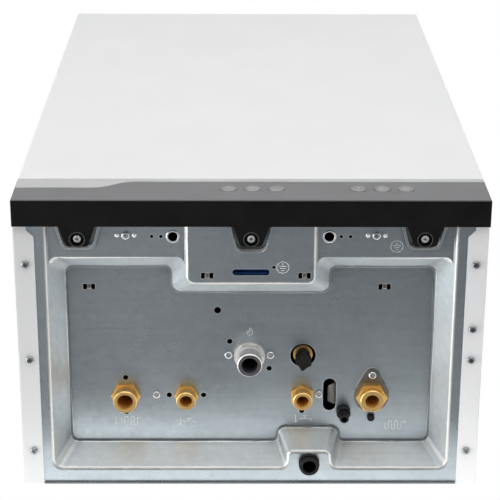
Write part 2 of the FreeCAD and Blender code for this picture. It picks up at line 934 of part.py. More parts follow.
def recess(inset, front):
    """Plan of the recess drawn in by an inset, as the drafted walls close in."""
    back = f"-1 * recess_back - ({inset})"
    reach = f"-1 * recess_back - bay_reach - ({inset}) * bay_run_share"
    middle = f"-1 * middle_end + ({inset}) * draft_flare_share"
    return [
        (f"-1 * recess_half + ({inset})", back),
        (f"bay_centre - bay_half_root - ({inset}) * bay_flare_share", back),
        (f"bay_centre - bay_half_end - ({inset}) * bay_flare_share", reach),
        (f"bay_centre + bay_half_end + ({inset}) * bay_flare_share", reach),
        (f"bay_centre + bay_half_root + ({inset}) * bay_flare_share", back),
        (f"recess_half - ({inset})", back),
        (f"recess_half - ({inset})", front),
        (f"middle_half + ({inset})", front),
        (f"middle_half + ({inset})", middle),
        (f"-1 * middle_half - ({inset})", middle),
        (f"-1 * middle_half - ({inset})", front),
        (f"-1 * recess_half + ({inset})", front),
    ]


def inset_at(height):
    return f"recess_run * ({height}) / recess_depth"


WALL = "plate_gauge * wall_share"
OUTER_TOP = f"{inset_at('recess_depth + plate_gauge')} - {WALL}"
OUTER_LEDGE = f"{inset_at('ledge_depth + plate_gauge')} - {WALL}"
LEDGE_EDGE = "-1 * ledge_front"
FLOOR_EDGE = "-1 * ledge_front + ledge_run"

plate = new_body()
sheet_edge = rectangle(f"-1 * {INNER}", INNER, f"-1 * {PLATE_FRONT}", "-1 * plate_gauge - slip")
pad(plate, outline(plate, "XY_Plane", sheet_edge, "gauge"), "plate_gauge")
loft(plate, "AdditiveLoft",
     outline(plate, "XY_Plane", recess(f"-1 * {WALL}", f"-1 * {PLATE_FRONT}"), "gauge"),
     outline(plate, "XY_Plane", recess(OUTER_LEDGE, f"-1 * {PLATE_FRONT}"), f"{LEDGE} + plate_gauge"))
loft(plate, "AdditiveLoft",
     outline(plate, "XY_Plane", recess(OUTER_LEDGE, f"{LEDGE_EDGE} - {WALL}"), f"{LEDGE} + plate_gauge"),
     outline(plate, "XY_Plane", recess(OUTER_TOP, f"{FLOOR_EDGE} - {WALL}"), FLOOR_TOP))
loft(plate, "SubtractiveLoft",
     outline(plate, "XY_Plane", recess("0", f"-1 * ({PLATE_FRONT} + overrun)"), "gauge"),
     outline(plate, "XY_Plane", recess(inset_at("ledge_depth"), f"-1 * ({PLATE_FRONT} + overrun)"), LEDGE))
loft(plate, "SubtractiveLoft",
     outline(plate, "XY_Plane", recess(inset_at("ledge_depth"), LEDGE_EDGE), LEDGE),
     outline(plate, "XY_Plane", recess("recess_run", FLOOR_EDGE), FLOOR))

plate_front = -value(PLATE_FRONT)
rim_level = value("gauge")
ledge_level = value(LEDGE)
floor_level = value(FLOOR)
sheet_rise = value("plate_gauge")
bay_middle = -value("recess_back + bay_reach / 2")
middle_line = -value("middle_end + recess_run / 4")
half_depth = -value("middle_end / 2")
middle_zone = value("middle_half + recess_run + plate_gauge * 2")
bay_low = value("bay_centre - bay_half_root - recess_run")
bay_high = value("bay_centre + bay_half_root + recess_run")


def rises(limits, lift):
    """A corner of the pressing that climbs between two of its levels."""
    if near(limits.YMin, plate_front) and near(limits.YMax, plate_front):
        return False
    low_step = near(limits.ZMin, rim_level + lift) and near(limits.ZMax, ledge_level + lift)
    high_step = near(limits.ZMin, ledge_level + lift) and near(limits.ZMax, floor_level + lift)
    return low_step or high_step


def in_bay(limits):
    """Corners of the bay at the back of the recess."""
    return limits.YMin > half_depth and limits.XMin > bay_low and limits.XMax < bay_high


def inner_corner(limits):
    """Corners of the raised middle, where the sheet bends outward."""
    middle = middle_line < limits.YMin and limits.YMax < half_depth
    return middle and max(abs(limits.XMin), abs(limits.XMax)) < middle_zone


def rim_edge(limits):
    """The upper edge line of the recess, without the border of the sheet."""
    if not (near(limits.ZMin, rim_level) and near(limits.ZMax, rim_level)):
        return False
    if near(limits.YMin, plate_front) and near(limits.YMax, plate_front):
        return False
    border = value("recess_half + recess_back / 2")
    return limits.XMax < border and limits.XMin > -border and limits.YMax < -value("recess_back / 2")


soften(plate, "Fillet", lambda limits: rises(limits, sheet_rise) and inner_corner(limits), f"press_corner - {WALL}")
soften(plate, "Fillet", lambda limits: rises(limits, sheet_rise) and in_bay(limits) and limits.YMax < bay_middle,
       f"bay_corner - {WALL}")
soften(plate, "Fillet", lambda limits: rises(limits, 0) and not in_bay(limits), "press_corner")
soften(plate, "Fillet", lambda limits: rises(limits, 0) and in_bay(limits), "bay_corner")
soften(plate, "Fillet", lambda limits: near(limits.ZMin, floor_level) and near(limits.ZMax, floor_level), "floor_bend")
soften(plate, "Fillet", rim_edge, "rim_bend")
doc.recompute()

# Pressed seats for the three tabs of the control strip


def seat_plan(centre, end, grow, front):
    return [
        (f"{centre} - notch_root_width / 2 - {grow}", f"-1 * {front}"),
        (f"{centre} - notch_end_width / 2 - {grow}", f"-1 * ({end}) + {grow}", "notch_corner"),
        (f"{centre} + notch_end_width / 2 + {grow}", f"-1 * ({end}) + {grow}", "notch_corner"),
        (f"{centre} + notch_root_width / 2 + {grow}", f"-1 * {front}"),
    ]


TABS = [("-1 * tab_pitch", "notch_end"), ("0", "notch_mid_end"), ("tab_pitch", "notch_end")]
for centre, end in TABS:
    pad(plate, outline(plate, "XY_Plane", seat_plan(centre, end, WALL, PLATE_FRONT), f"gauge + plate_gauge / 2"),
        "notch_depth + plate_gauge / 2")
for centre, end in TABS:
    pocket(plate, outline(plate, "XY_Plane", seat_plan(centre, end, "0", f"({PLATE_FRONT} + overrun)"), BELOW),
           "overrun + gauge + notch_depth", ahead=True)

# Holes of the bottom plate

PIPES = [
    ("flow_at", "pipe_line", "heating_tube"),
    ("hot_at", "pipe_line", "water_tube"),
    ("gas_at", "gas_line", "gas_tube"),
    ("cold_at", "pipe_line", "water_tube"),
    ("return_at", "pipe_line", "heating_tube"),
    ("relief_at", "relief_line", "relief_tube"),
    ("drain_at", "drain_line", "2 * drain_nozzle"),
]
round_holes = [(at, f"-1 * {line}", f"{tube_size} + 2 * pipe_gap") for at, line, tube_size in PIPES]
round_holes += [("filling_at", "-1 * filling_line", "filling_hole")]
round_holes += [("plug_at", "-1 * plug_line", "small_hole")]
round_holes += [("floor_hole_at", "-1 * floor_hole_depth", "floor_hole")]
round_holes += [(f"{side} * cable_hole_at", "-1 * pin_hole_depth", "cable_hole") for side in (-1, 1)]
round_holes += [(f"{side} * pin_hole_near", "-1 * pin_hole_depth", "pin_hole") for side in (-1, 1)]
round_holes += [(f"{side} * pin_hole_far", "-1 * pin_hole_depth", "pin_hole") for side in (-1, 1)]
round_holes += [("middle_hole_at", "-1 * middle_hole_depth", "pin_hole")]
SMALL = [
    ("flow_at", "pipe_line + flow_clip_reach"),
    ("flow_at", "pipe_line - flow_clip_reach"),
    ("hot_at - hot_clip_reach", "pipe_line"),
    ("hot_at + hot_clip_reach", "pipe_line"),
    ("gas_at - gas_clip_side", "gas_line + gas_clip_reach"),
    ("gas_at + gas_clip_side", "gas_line - gas_clip_reach"),
    ("cold_at", "pipe_line - cold_clip_reach"),
]
small_holes = [(at, f"-1 * ({depth})", "small_hole") for at, depth in SMALL]
FLOOR_SCREWS = [
    ("floor_screw_a_at", "floor_screw_a_depth", FLOOR),
    ("gas_screw_left", "gas_screw_depth", FLOOR),
    ("gas_screw_right", "gas_screw_depth", FLOOR),
    ("floor_screw_b_at", "floor_screw_b_depth", FLOOR),
    ("clamp_screw_at", "clamp_screw_depth", f"{FLOOR} - clamp_gauge"),
    ("-1 * ledge_screw_at", "ledge_screw_depth", LEDGE),
    ("ledge_screw_at", "ledge_screw_depth", LEDGE),
]
TAB_SCREWS = [(centre, "tab_screw", "tab_well_depth - strip_drop") for centre, end in TABS]
SIDE_SCREWS = [("-1 * screw_line", depth, "0") for depth in LEFT_SCREWS]
SIDE_SCREWS += [("screw_line", depth, "0") for depth in RIGHT_SCREWS]
screw_holes = [(at, f"-1 * {depth}", "screw_hole") for at, depth, level in FLOOR_SCREWS + TAB_SCREWS + SIDE_SCREWS]
for circles in (round_holes, small_holes, screw_holes):
    pocket(plate, rings(plate, "XY_Plane", circles, BELOW), THROUGH, ahead=True)
pocket(plate, slots(plate, "XY_Plane", [
    ("-1 * wire_slot_half", "-1 * wire_slot_depth", "wire_slot_half", "-1 * wire_slot_depth",
     "wire_slot_width / 2", "wire_slot_width / 2"),
    ("bracket_slot_at", "-1 * bracket_slot_depth - bracket_slot_half",
     "bracket_slot_at", "-1 * bracket_slot_depth + bracket_slot_half",
     "bracket_slot_width / 2", "bracket_slot_width / 2"),
], BELOW), THROUGH, ahead=True)
CLIPS = [
    ("clip_left", "clip_depth"),
    ("clip_right", "clip_depth"),
    ("floor_clip_left", "floor_clip_depth"),
    ("floor_clip_right", "floor_clip_depth"),
]
clip_holes = [
    rectangle(f"{at} - clip_width / 2", f"{at} + clip_width / 2",
              f"-1 * {depth} - clip_height / 2", f"-1 * {depth} + clip_height / 2")
    for at, depth in CLIPS
]
pocket(plate, outline(plate, "XY_Plane", clip_holes[0], BELOW, clip_holes[1:]), THROUGH, ahead=True)
node(plate, "bottom_plate")

# Front cover, a shallow painted tray

cover = new_body()
COVER_LOW = "(strip_height + seam)"
face = rectangle(f"-1 * {HALF}", HALF, COVER_LOW, "casing_height")
pad(cover, outline(cover, "XZ_Plane", face, STRIP_BACK), "cover_depth")
cover_front = -value("casing_depth")
soften(cover, "Fillet", lambda limits: near(limits.YMin, cover_front) and near(limits.YMax, cover_front), "edge_round")
hollow = rectangle(f"-1 * {HALF} + gauge", f"{HALF} - gauge", f"{COVER_LOW} + gauge", "casing_height - gauge")
pocket(cover, outline(cover, "XZ_Plane", hollow, STRIP_BACK), "cover_depth - gauge", ahead=True)
node(cover, "front_cover")

# Control strip housing with three screw tabs

BUTTONS = [f"{first} + button_pitch * {step}" for first in ("button_first", "button_second") for step in range(3)]
BUTTON_HOLE = "2 * (button_radius + button_gap)"
button_holes = [(at, "button_height", BUTTON_HOLE) for at in BUTTONS]
housing = new_body()
strip = rectangle(f"-1 * {HALF}", HALF, "-1 * strip_drop", "strip_height")
pad(housing, outline(housing, "XZ_Plane", strip, STRIP_BACK), f"{FASCIA_BACK} - {STRIP_BACK}")
inside = rectangle(f"-1 * {HALF} + strip_wall", f"{HALF} - strip_wall", "strip_wall - strip_drop", "strip_height - strip_wall")
pocket(housing, outline(housing, "XZ_Plane", inside, STRIP_BACK), f"{WALL_INNER} - {STRIP_BACK}", ahead=True)
for centre, end in TABS:
    pad(housing, outline(housing, "XY_Plane", [
        (f"{centre} - tab_root_width / 2", f"-1 * ({STRIP_BACK} + overrun)"),
        (f"{centre} - tab_root_width / 2", f"-1 * {STRIP_BACK}"),
        (f"{centre} - tab_end_width / 2", "-1 * tab_end", "tab_corner"),
        (f"{centre} + tab_end_width / 2", "-1 * tab_end", "tab_corner"),
        (f"{centre} + tab_root_width / 2", f"-1 * {STRIP_BACK}"),
        (f"{centre} + tab_root_width / 2", f"-1 * ({STRIP_BACK} + overrun)"),
    ], "-1 * strip_drop"), "strip_drop + tab_step")
    pad(housing, outline(housing, "XY_Plane", [
        (f"{centre} - tab_foot_root_width / 2", f"-1 * {STRIP_BACK}"),
        (f"{centre} - tab_foot_end_width / 2", "-1 * tab_end - tab_step"),
        (f"{centre} + tab_foot_end_width / 2", "-1 * tab_end - tab_step"),
        (f"{centre} + tab_foot_root_width / 2", f"-1 * {STRIP_BACK}"),
    ], "tab_step"), "gauge + notch_depth - tab_step")
wells = [(centre, "-1 * tab_screw", "tab_well") for centre, end in TABS]
pocket(housing, rings(housing, "XY_Plane", wells, "-1 * strip_drop - overrun"), "overrun + tab_well_depth", ahead=True)
bores = [(centre, "-1 * tab_screw", "screw_hole") for centre, end in TABS]
pocket(housing, rings(housing, "XY_Plane", bores, "-1 * strip_drop - overrun"), "overrun * 5", ahead=True)
pocket(housing, rings(housing, "XZ_Plane", button_holes, f"{FASCIA_BACK} + overrun"), "overrun + strip_wall + slip")
window = rectangle("window_left", "window_right", "window_low", "window_high")
pocket(housing, outline(housing, "XZ_Plane", window, f"{FASCIA_BACK} + overrun"), "overrun + strip_wall + slip")
boss_spots = [
    (f"{at}", f"{height}", "2 * boss_radius")
    for at in ("board_left + board_inset", "board_right - board_inset")
    for height in ("board_low + board_inset", "board_high - board_inset")
]
pad(housing, rings(housing, "XZ_Plane", boss_spots, WALL_INNER), "board_setback", back=True)
node(housing, "control_housing")

# Grey fascia and its silver upper trim, which meet in a stretched S

LEFT_EDGE = f"-1 * {HALF} + fascia_border"
RIGHT_EDGE = f"{HALF} - fascia_border"
fascia = new_body()
pad(fascia, outline(fascia, "XZ_Plane", [
    (LEFT_EDGE, "fascia_border - strip_drop"),
    (RIGHT_EDGE, "fascia_border - strip_drop"),
    (RIGHT_EDGE, "trim_high - slip"),
    ("-1 * trim_bend_high", "trim_high - slip", "trim_bend_round"),
    ("-1 * trim_bend_low", "trim_low - slip", "trim_bend_round"),
    (LEFT_EDGE, "trim_low - slip"),
], FASCIA_BACK), "fascia_gauge")
pocket(fascia, rings(fascia, "XZ_Plane", button_holes, "casing_depth + overrun"), "overrun + fascia_gauge + slip")
node(fascia, "control_fascia")

trim = new_body()
pad(trim, outline(trim, "XZ_Plane", [
    (LEFT_EDGE, "strip_height - fascia_border"),
    (LEFT_EDGE, "trim_low"),
    ("-1 * trim_bend_low", "trim_low", "trim_bend_round"),
    ("-1 * trim_bend_high", "trim_high", "trim_bend_round"),
    (RIGHT_EDGE, "trim_high"),
    (RIGHT_EDGE, "strip_height - fascia_border"),
], FASCIA_BACK), "fascia_gauge + trim_proud")
node(trim, "fascia_trim")

# Push buttons with a retaining collar and a stem toward their switches

CROWN = "strip_wall + fascia_gauge + button_rise"
for number, at in enumerate(BUTTONS, 1):
    button = turned([
        ("0", "-1 * button_lip - button_stem_length"),
        ("button_stem", "-1 * button_lip - button_stem_length"),
        ("button_stem", "-1 * button_lip"),
        ("button_radius + button_collar", "-1 * button_lip"),
        ("button_radius + button_collar", "-1 * button_rest"),
        ("button_radius", "-1 * button_rest"),
        ("button_radius", f"{CROWN} - button_crown", "button_round"),
        ("0", CROWN),
    ], at, f"-1 * {WALL_INNER}", "button_height", FORWARD)
    node(button, f"push_button_{number}")

# Control board with its switches, and the display

BOARD_FRONT = f"({WALL_INNER} - board_setback)"
board = new_body()
board_face = rectangle("board_left", "board_right", "board_low", "board_high")
pad(board, outline(board, "XZ_Plane", board_face, f"{BOARD_FRONT} - board_gauge"), "board_gauge")
switches = [
    rectangle(f"{at} - switch_width / 2", f"{at} + switch_width / 2",
              "button_height - switch_width / 2", "button_height + switch_width / 2")
    for at in BUTTONS
]
pad(board, outline(board, "XZ_Plane", switches[0], BOARD_FRONT, switches[1:]), "switch_height")
plungers = [(at, "button_height", "2 * button_stem") for at in BUTTONS]
pad(board, rings(board, "XZ_Plane", plungers, BOARD_FRONT),
    "board_setback - button_lip - button_stem_length - button_travel - slip")
node(board, "control_board")

display = new_body()
display_face = rectangle("window_left - display_margin", "window_right + display_margin",
                         "window_low - display_margin", "window_high + display_margin")
pad(display, outline(display, "XZ_Plane", display_face, BOARD_FRONT), "board_setback - slip")
pocket(display, outline(display, "XZ_Plane", window, f"{WALL_INNER} + overrun"), "overrun + slip + display_recess")
node(display, "display_module")

# Cross recessed screws


def screw(at, depth, level, shank="shank_length"):
    """One screw, head below, whose shank points upward from the seat of its head."""
    body = new_body()
    spin(body, outline(body, "XZ_Plane", [
        ("0", "-1 * head_height"),
        ("head_radius", "-1 * head_height", "head_round"),
        ("head_radius", "0"),
        ("shank_radius", "0"),
        ("shank_radius", shank),
        ("0", shank),
    ]))
    wide = "cross_width / 2"
    long = "cross_length / 2"
    corners = [(wide, wide), (wide, long), (f"-1 * {wide}", long), (f"-1 * {wide}", wide)]
    corners += [(f"-1 * {long}", wide), (f"-1 * {long}", f"-1 * {wide}"), (f"-1 * {wide}", f"-1 * {wide}")]
    corners += [(f"-1 * {wide}", f"-1 * {long}"), (wide, f"-1 * {long}"), (wide, f"-1 * {wide}")]
    corners += [(long, f"-1 * {wide}"), (long, wide)]
    cross = outline(body, "XY_Plane", corners, "-1 * head_height - overrun")
    pocket(body, cross, "overrun + cross_depth", ahead=True)
    return seat(body, at, f"-1 * ({depth})", level)


node(group([screw(*spot) for spot in SIDE_SCREWS]), "side_flange_screws")
node(group([screw(*spot, "tab_shank_length") for spot in TAB_SCREWS]), "tab_screws")
node(group([screw(*spot) for spot in FLOOR_SCREWS]), "plate_screws")

# Connection tails with a spanner hexagon under the plate and a nut above it


def hexagon(size, upright):
    """Six corners about the middle, with two of them to the sides or to front and back."""
    corner = f"{size} * hex_corner_share"
    flat = f"{size} / 2"
    points = [(corner, "0"), (f"{corner} / 2", flat), (f"-1 * {corner} / 2", flat)]
    points += [(f"-1 * {corner}", "0"), (f"-1 * {corner} / 2", f"-1 * {flat}"), (f"{corner} / 2", f"-1 * {flat}")]
    if upright:
        points = [(y, x) for x, y in points]
    return points


def tail(at, line, tube_size, bore, end, hex_size, hex_low, hex_high, upright=False, top="tail_top", arm=None):
    body = new_body()
    radius = f"{tube_size} / 2"
    spin(body, outline(body, "XZ_Plane", [
        ("0", end),
        (f"{radius} - tail_chamfer", end),
        (radius, f"{end} + tail_chamfer"),
        (radius, FLOOR_TOP),
        (f"{radius} + nut_margin", FLOOR_TOP),
        (f"{radius} + nut_margin", f"{FLOOR_TOP} + nut_height"),
        (radius, f"{FLOOR_TOP} + nut_height"),
        (radius, top),
        ("0", top),
    ]))
    if arm:
        level, length, thickness = arm
        pad(body, rings(body, "XZ_Plane", [("0", level, f"2 * {thickness}")]), length, back=True)
    pad(body, outline(body, "XY_Plane", hexagon(hex_size, upright), hex_low), f"{hex_high} - {hex_low}")
    depth = f"{top} - ({end}) + overrun - nut_margin" if arm else f"{top} - ({end}) + 2 * overrun"
    pocket(body, rings(body, "XY_Plane", [("0", "0", bore)], f"{end} - overrun"), depth, ahead=True)
    return seat(body, at, f"-1 * {line}", "0")


PACK_ARM = ("hot_arm_level", "pipe_line - plate_pack_front", "water_tube / 2 - gauge")
node(tail("flow_at", "pipe_line", "heating_tube", "heating_bore", "flow_end",
          "flow_hex", "flow_hex_low", FLOOR), "heating_flow_tail")
node(tail("hot_at", "pipe_line", "water_tube", "water_bore", "hot_end",
          "water_hex", "hot_hex_low", FLOOR, top="arm_tail_top", arm=PACK_ARM), "hot_water_tail")
node(tail("cold_at", "pipe_line", "water_tube", "water_bore", "cold_end",
          "water_hex", "cold_hex_low", FLOOR, upright=True, top="arm_tail_top", arm=PACK_ARM), "cold_water_tail")
node(tail("return_at", "pipe_line", "heating_tube", "return_bore", "return_end",
          "return_hex", "return_hex_low", f"({FLOOR} - clamp_gauge)"), "heating_return_tail")
gas_tail = tail("gas_at", "gas_line", "gas_tube", "gas_bore", "gas_end", "gas_hex", "gas_hex_low", "gas_collar_low")
ring = rings(gas_tail, "XY_Plane", [("0", "0", "gas_collar")], "gas_collar_low")
pad(gas_tail, ring, f"{FLOOR} - gas_collar_low")
hole = rings(gas_tail, "XY_Plane", [("0", "0", "gas_bore")], "gas_end - overrun")
pocket(gas_tail, hole, "tail_top - gas_end + 2 * overrun", ahead=True)
node(gas_tail, "gas_tail")

clamp = new_body()
pad(clamp, slots(clamp, "XY_Plane", [
    ("return_at", "-1 * pipe_line", "clamp_screw_at", "-1 * clamp_screw_depth", "clamp_big", "clamp_small"),
], f"{FLOOR} - clamp_gauge"), "clamp_gauge")
pocket(clamp, rings(clamp, "XY_Plane", [
    ("return_at", "-1 * pipe_line", "heating_tube + 2 * slip"),
    ("clamp_screw_at", "-1 * clamp_screw_depth", "screw_hole"),
]), f"{FLOOR} + overrun", ahead=True)
node(clamp, "return_clamp_plate")

# Filling valve and the black knob that turns on its spindle

filling = new_body()
spin(filling, outline(filling, "XZ_Plane", [
    ("0", "knob_top - knob_bore_depth + knob_clearance"),
    ("filling_spindle", "knob_top - knob_bore_depth + knob_clearance"),
    ("filling_spindle", "filling_body_low"),
    ("filling_body", "filling_body_low"),
    ("filling_body", "tail_top"),
    ("0", "tail_top"),
]))
arm_ring = [("cold_at - filling_at", "filling_arm_level", "2 * filling_arm")]
pad(filling, rings(filling, "XZ_Plane", arm_ring), "filling_line - pipe_line - water_tube / 2", back=True)
node(seat(filling, "filling_at", "-1 * filling_line", "0"), "filling_valve")

knob = new_body()
star = []
for step in range(8):
    reach = "knob_point" if step % 2 == 0 else "knob_waist"
    rounding = "knob_round" if step % 2 == 0 else "knob_waist_round"
    turn = math.radians(45 * step + SIZES["knob_rest_turn"])
    star.append((f"{reach} * ({math.cos(turn):.6f})", f"{reach} * ({math.sin(turn):.6f})", rounding))
pad(knob, outline(knob, "XY_Plane", star, "knob_tip"), "knob_top - knob_tip")
pad(knob, rings(knob, "XY_Plane", [("0", "0", "2 * knob_hub")], "knob_top"), "knob_hub_height")
bore_ring = [("0", "0", "2 * (filling_spindle + spindle_gap)")]
pocket(knob, rings(knob, "XY_Plane", bore_ring, "knob_top - knob_bore_depth"), "knob_hub_height + knob_bore_depth + overrun",
       ahead=True)
node(seat(knob, "filling_at", "-1 * filling_line", "0"), "filling_knob")

# Drain cock, its small plug and the relief outlet

drain = new_body()
spin(drain, outline(drain, "XZ_Plane", [
    ("0", "drain_end"),
    ("drain_nozzle - tail_chamfer", "drain_end"),
    ("drain_nozzle", "drain_end + tail_chamfer * 2"),
    ("drain_nozzle", "drain_flange_low"),
    ("drain_flange - tail_chamfer", "drain_flange_low"),
    ("drain_flange", "drain_flange_low + tail_chamfer"),
    ("drain_flange", FLOOR),
    ("drain_nozzle", FLOOR),
    ("drain_nozzle", "drain_top"),
    ("0", "drain_top"),
]))
drain_hole = rings(drain, "XY_Plane", [("0", "0", "2 * drain_bore")], "drain_end - overrun")
pocket(drain, drain_hole, "overrun + drain_flange_low", ahead=True)
node(seat(drain, "drain_at", "-1 * drain_line", "0"), "drain_cock")

node(turned([
    ("0", "plug_low"),
    ("plug_radius", "plug_low", "tail_chamfer"),
    ("plug_radius", FLOOR),
    ("plug_radius - plate_gauge", FLOOR),
    ("plug_radius - plate_gauge", f"{FLOOR_TOP} + nut_height"),
    ("0", f"{FLOOR_TOP} + nut_height"),
], "plug_at", "-1 * plug_line", "0"), "drain_plug")

relief_path = [
    ("relief_at", "-1 * relief_line", "relief_end"),
    ("relief_at", "-1 * relief_line", "relief_level"),
    ("relief_valve_at - relief_body", "-1 * relief_line", "relief_level"),
]
relief = tube(relief_path, "relief_tube / 2", None, "relief_turn")
bead = rod("relief_at", "-1 * relief_line", "gauge - relief_bead_height", "relief_bead / 2", "relief_bead_height")
hollow = tube([
    ("relief_at", "-1 * relief_line", "relief_end - overrun"),
    ("relief_at", "-1 * relief_line", "relief_level"),
    ("relief_valve_at", "-1 * relief_line", "relief_level"),
], "relief_bore / 2", None, "relief_turn")
node(cut(join([relief, bead]), [hollow]), "relief_outlet")

relief_valve = join([
    rod("relief_valve_at", "-1 * relief_line", "relief_body_low", "relief_body", "relief_body_high - relief_body_low"),
    rod("relief_valve_at", "-1 * relief_line", "relief_arm_level", "relief_arm",
        "pipe_line - relief_line - return_radius + plate_gauge", FORWARD),
    taper("relief_valve_at", "-1 * relief_line", "relief_body_high", "relief_knob - plate_gauge", "relief_knob - strip_wall",
          "relief_knob_height"),
])
node(relief_valve, "safety_valve")

# Diverter valve on the flow side, with its stem and its motor

diverter = new_body()
spin(diverter, outline(diverter, "XZ_Plane", [
    ("0", "tail_top"),
    ("diverter_radius", "tail_top"),
    ("diverter_radius", "diverter_high"),
    ("0", "diverter_high"),
]))
pad(diverter, rings(diverter, "XZ_Plane", [("0", "diverter_arm_level", "2 * arm_radius")]), "pipe_line - plate_pack_front", back=True)
pad(diverter, rings(diverter, "YZ_Plane", [("0", "diverter_high - arm_radius * 2", "2 * arm_radius")]),
    "diverter_radius + nut_margin", back=True)
hollow_low = "(tail_top + diverter_wall)"
seat(diverter, "flow_at", "-1 * pipe_line", "0")
chamber_cut = rod("flow_at", "-1 * pipe_line", hollow_low, "diverter_radius - diverter_wall",
                  f"diverter_high - {hollow_low} - stem_guide")
guide_cut = rod("flow_at", "-1 * pipe_line", hollow_low, "stem_radius + stem_gap", "diverter_high")
node(cut(diverter, [chamber_cut, guide_cut]), "diverter_valve")

node(turned([
    ("0", f"{hollow_low} + stem_disc_gauge"),
    ("stem_disc", f"{hollow_low} + stem_disc_gauge"),
    ("stem_disc", f"{hollow_low} + 2 * stem_disc_gauge"),
    ("stem_radius", f"{hollow_low} + 2 * stem_disc_gauge"),
    ("stem_radius", "diverter_high + stem_out"),
    ("0", "diverter_high + stem_out"),
], "flow_at", "-1 * pipe_line", "0"), "diverter_stem")

node(turned([
    ("motor_socket / 2", "diverter_high"),
    ("motor_radius", "diverter_high"),
    ("motor_radius", "diverter_high + motor_height", "valve_round"),
    ("0", "diverter_high + motor_height"),
    ("0", "diverter_high + motor_socket"),
    ("motor_socket / 2", "diverter_high + motor_socket"),
], "flow_at", "-1 * pipe_line", "0"), "diverter_motor")

# Plate heat exchanger, a stack of thin plates between two covers

pack = new_body()
core = rectangle("plate_pack_left + plate_groove", "plate_pack_right - plate_groove",
                 "plate_pack_low + plate_groove", "plate_pack_high - plate_groove")
pad(pack, outline(pack, "XZ_Plane", core, "plate_pack_back"), "plate_pack_front - plate_pack_back")
leaf = [
    ("plate_pack_left", "plate_pack_low", "valve_round"),
    ("plate_pack_right", "plate_pack_low", "valve_round"),
    ("plate_pack_right", "plate_pack_high", "valve_round"),
    ("plate_pack_left", "plate_pack_high", "valve_round"),
]
first_leaf = pad(pack, outline(pack, "XZ_Plane", leaf, "plate_pack_front - plate_groove"), "plate_groove")
doc.recompute()
stack = pack.newObject("PartDesign::LinearPattern", "stack")
stack.Originals = [first_leaf]
stack.Direction = ([feature for feature in pack.Origin.OriginFeatures if feature.Role == "Y_Axis"][0], [""])
bind(stack, "Length", "plate_pitch * (plate_count - 1)")
bind(stack, "Occurrences", "plate_count")
pack.Tip = stack
node(pack, "plate_heat_exchanger")

# Return manifold and circulation pump

manifold = turned([
    ("return_bore / 2", "tail_top"),
    ("return_radius", "tail_top"),
    ("return_radius", "return_high"),
    ("return_bore / 2", "return_high"),
], "return_at", "-1 * pipe_line", "0")
node(manifold, "return_manifold")

PUMP_FRONT = "(pump_back + pump_depth)"
volute = join([
    rod("return_at", "-1 * pump_back", "pump_axis", "pump_radius", "pump_depth", FORWARD),
    rod("return_at", "-1 * pipe_line", "return_high", "pump_neck", "pump_axis - return_high"),
    rod("return_at", "-1 * pipe_line", "pump_axis", "pump_neck", "pump_radius + nut_height"),
    rod("vent_at", "-1 * pipe_line", "pump_axis", "vent_neck", "vent_seat - pump_axis"),
])
volute_cut = [
    rod("return_at", "-1 * pump_back - pump_wall", "pump_axis", "pump_radius - pump_wall", "pump_depth", FORWARD),
    rod("return_at", "-1 * pipe_line", "return_high - overrun", "return_bore / 2", "pump_radius + nut_height + pump_axis"),
]
node(cut(volute, volute_cut), "pump_housing")

pump_motor = new_body()
spin(pump_motor, outline(pump_motor, "XZ_Plane", [
    ("pump_shaft + shaft_gap", "0"),
    ("pump_motor_radius", "0"),
    ("pump_motor_radius", "pump_motor_length", "valve_round"),
    ("0", "pump_motor_length"),
    ("0", "pump_motor_length / 2"),
    ("pump_shaft + shaft_gap", "pump_motor_length / 2"),
]))
node(seat(pump_motor, "return_at", f"-1 * {PUMP_FRONT}", "pump_axis", FORWARD), "pump_motor")

rotor = new_body()
spin(rotor, outline(rotor, "XZ_Plane", [
    ("0", "-1 * pump_depth + pump_wall + running_gap * 3"),
    ("rotor_radius", "-1 * pump_depth + pump_wall + running_gap * 3"),
    ("rotor_radius", "-1 * pump_depth + pump_wall + running_gap * 3 + vane_gauge"),
    ("rotor_hub", "-1 * pump_depth + pump_wall + running_gap * 3 + vane_gauge"),
    ("rotor_hub", "-1 * running_gap"),
    ("pump_shaft", "-1 * running_gap"),
    ("pump_shaft", "pump_motor_length / 2 - running_gap"),
    ("0", "pump_motor_length / 2 - running_gap"),
]))
vane = rectangle("rotor_hub - vane_gauge", "rotor_radius - vane_gauge", "-1 * vane_gauge / 2", "vane_gauge / 2")
vane_pad = pad(rotor, outline(rotor, "XY_Plane", vane, "-1 * pump_depth + pump_wall + running_gap * 3"), "rotor_gauge")
doc.recompute()
vanes = rotor.newObject("PartDesign::PolarPattern", "vanes")
vanes.Originals = [vane_pad]
vanes.Axis = ([feature for feature in rotor.Origin.OriginFeatures if feature.Role == "Z_Axis"][0], [""])
vanes.Angle = 360
bind(vanes, "Occurrences", "vane_count")
rotor.Tip = vanes
node(seat(rotor, "return_at", f"-1 * {PUMP_FRONT}", "pump_axis", FORWARD), "pump_impeller")

node(turned([
    ("0", "0"),
    ("vent_neck", "0"),
    ("vent_neck", "nut_height"),
    ("vent_radius", "nut_height"),
    ("vent_radius", "vent_height", "valve_round"),
    ("vent_cap", "vent_height"),
    ("vent_cap", "vent_height + vent_cap"),
    ("0", "vent_height + vent_cap"),
], "vent_at", "-1 * pipe_line", "vent_seat"), "air_vent")

# Expansion vessel, a flat drum against the hanging frame

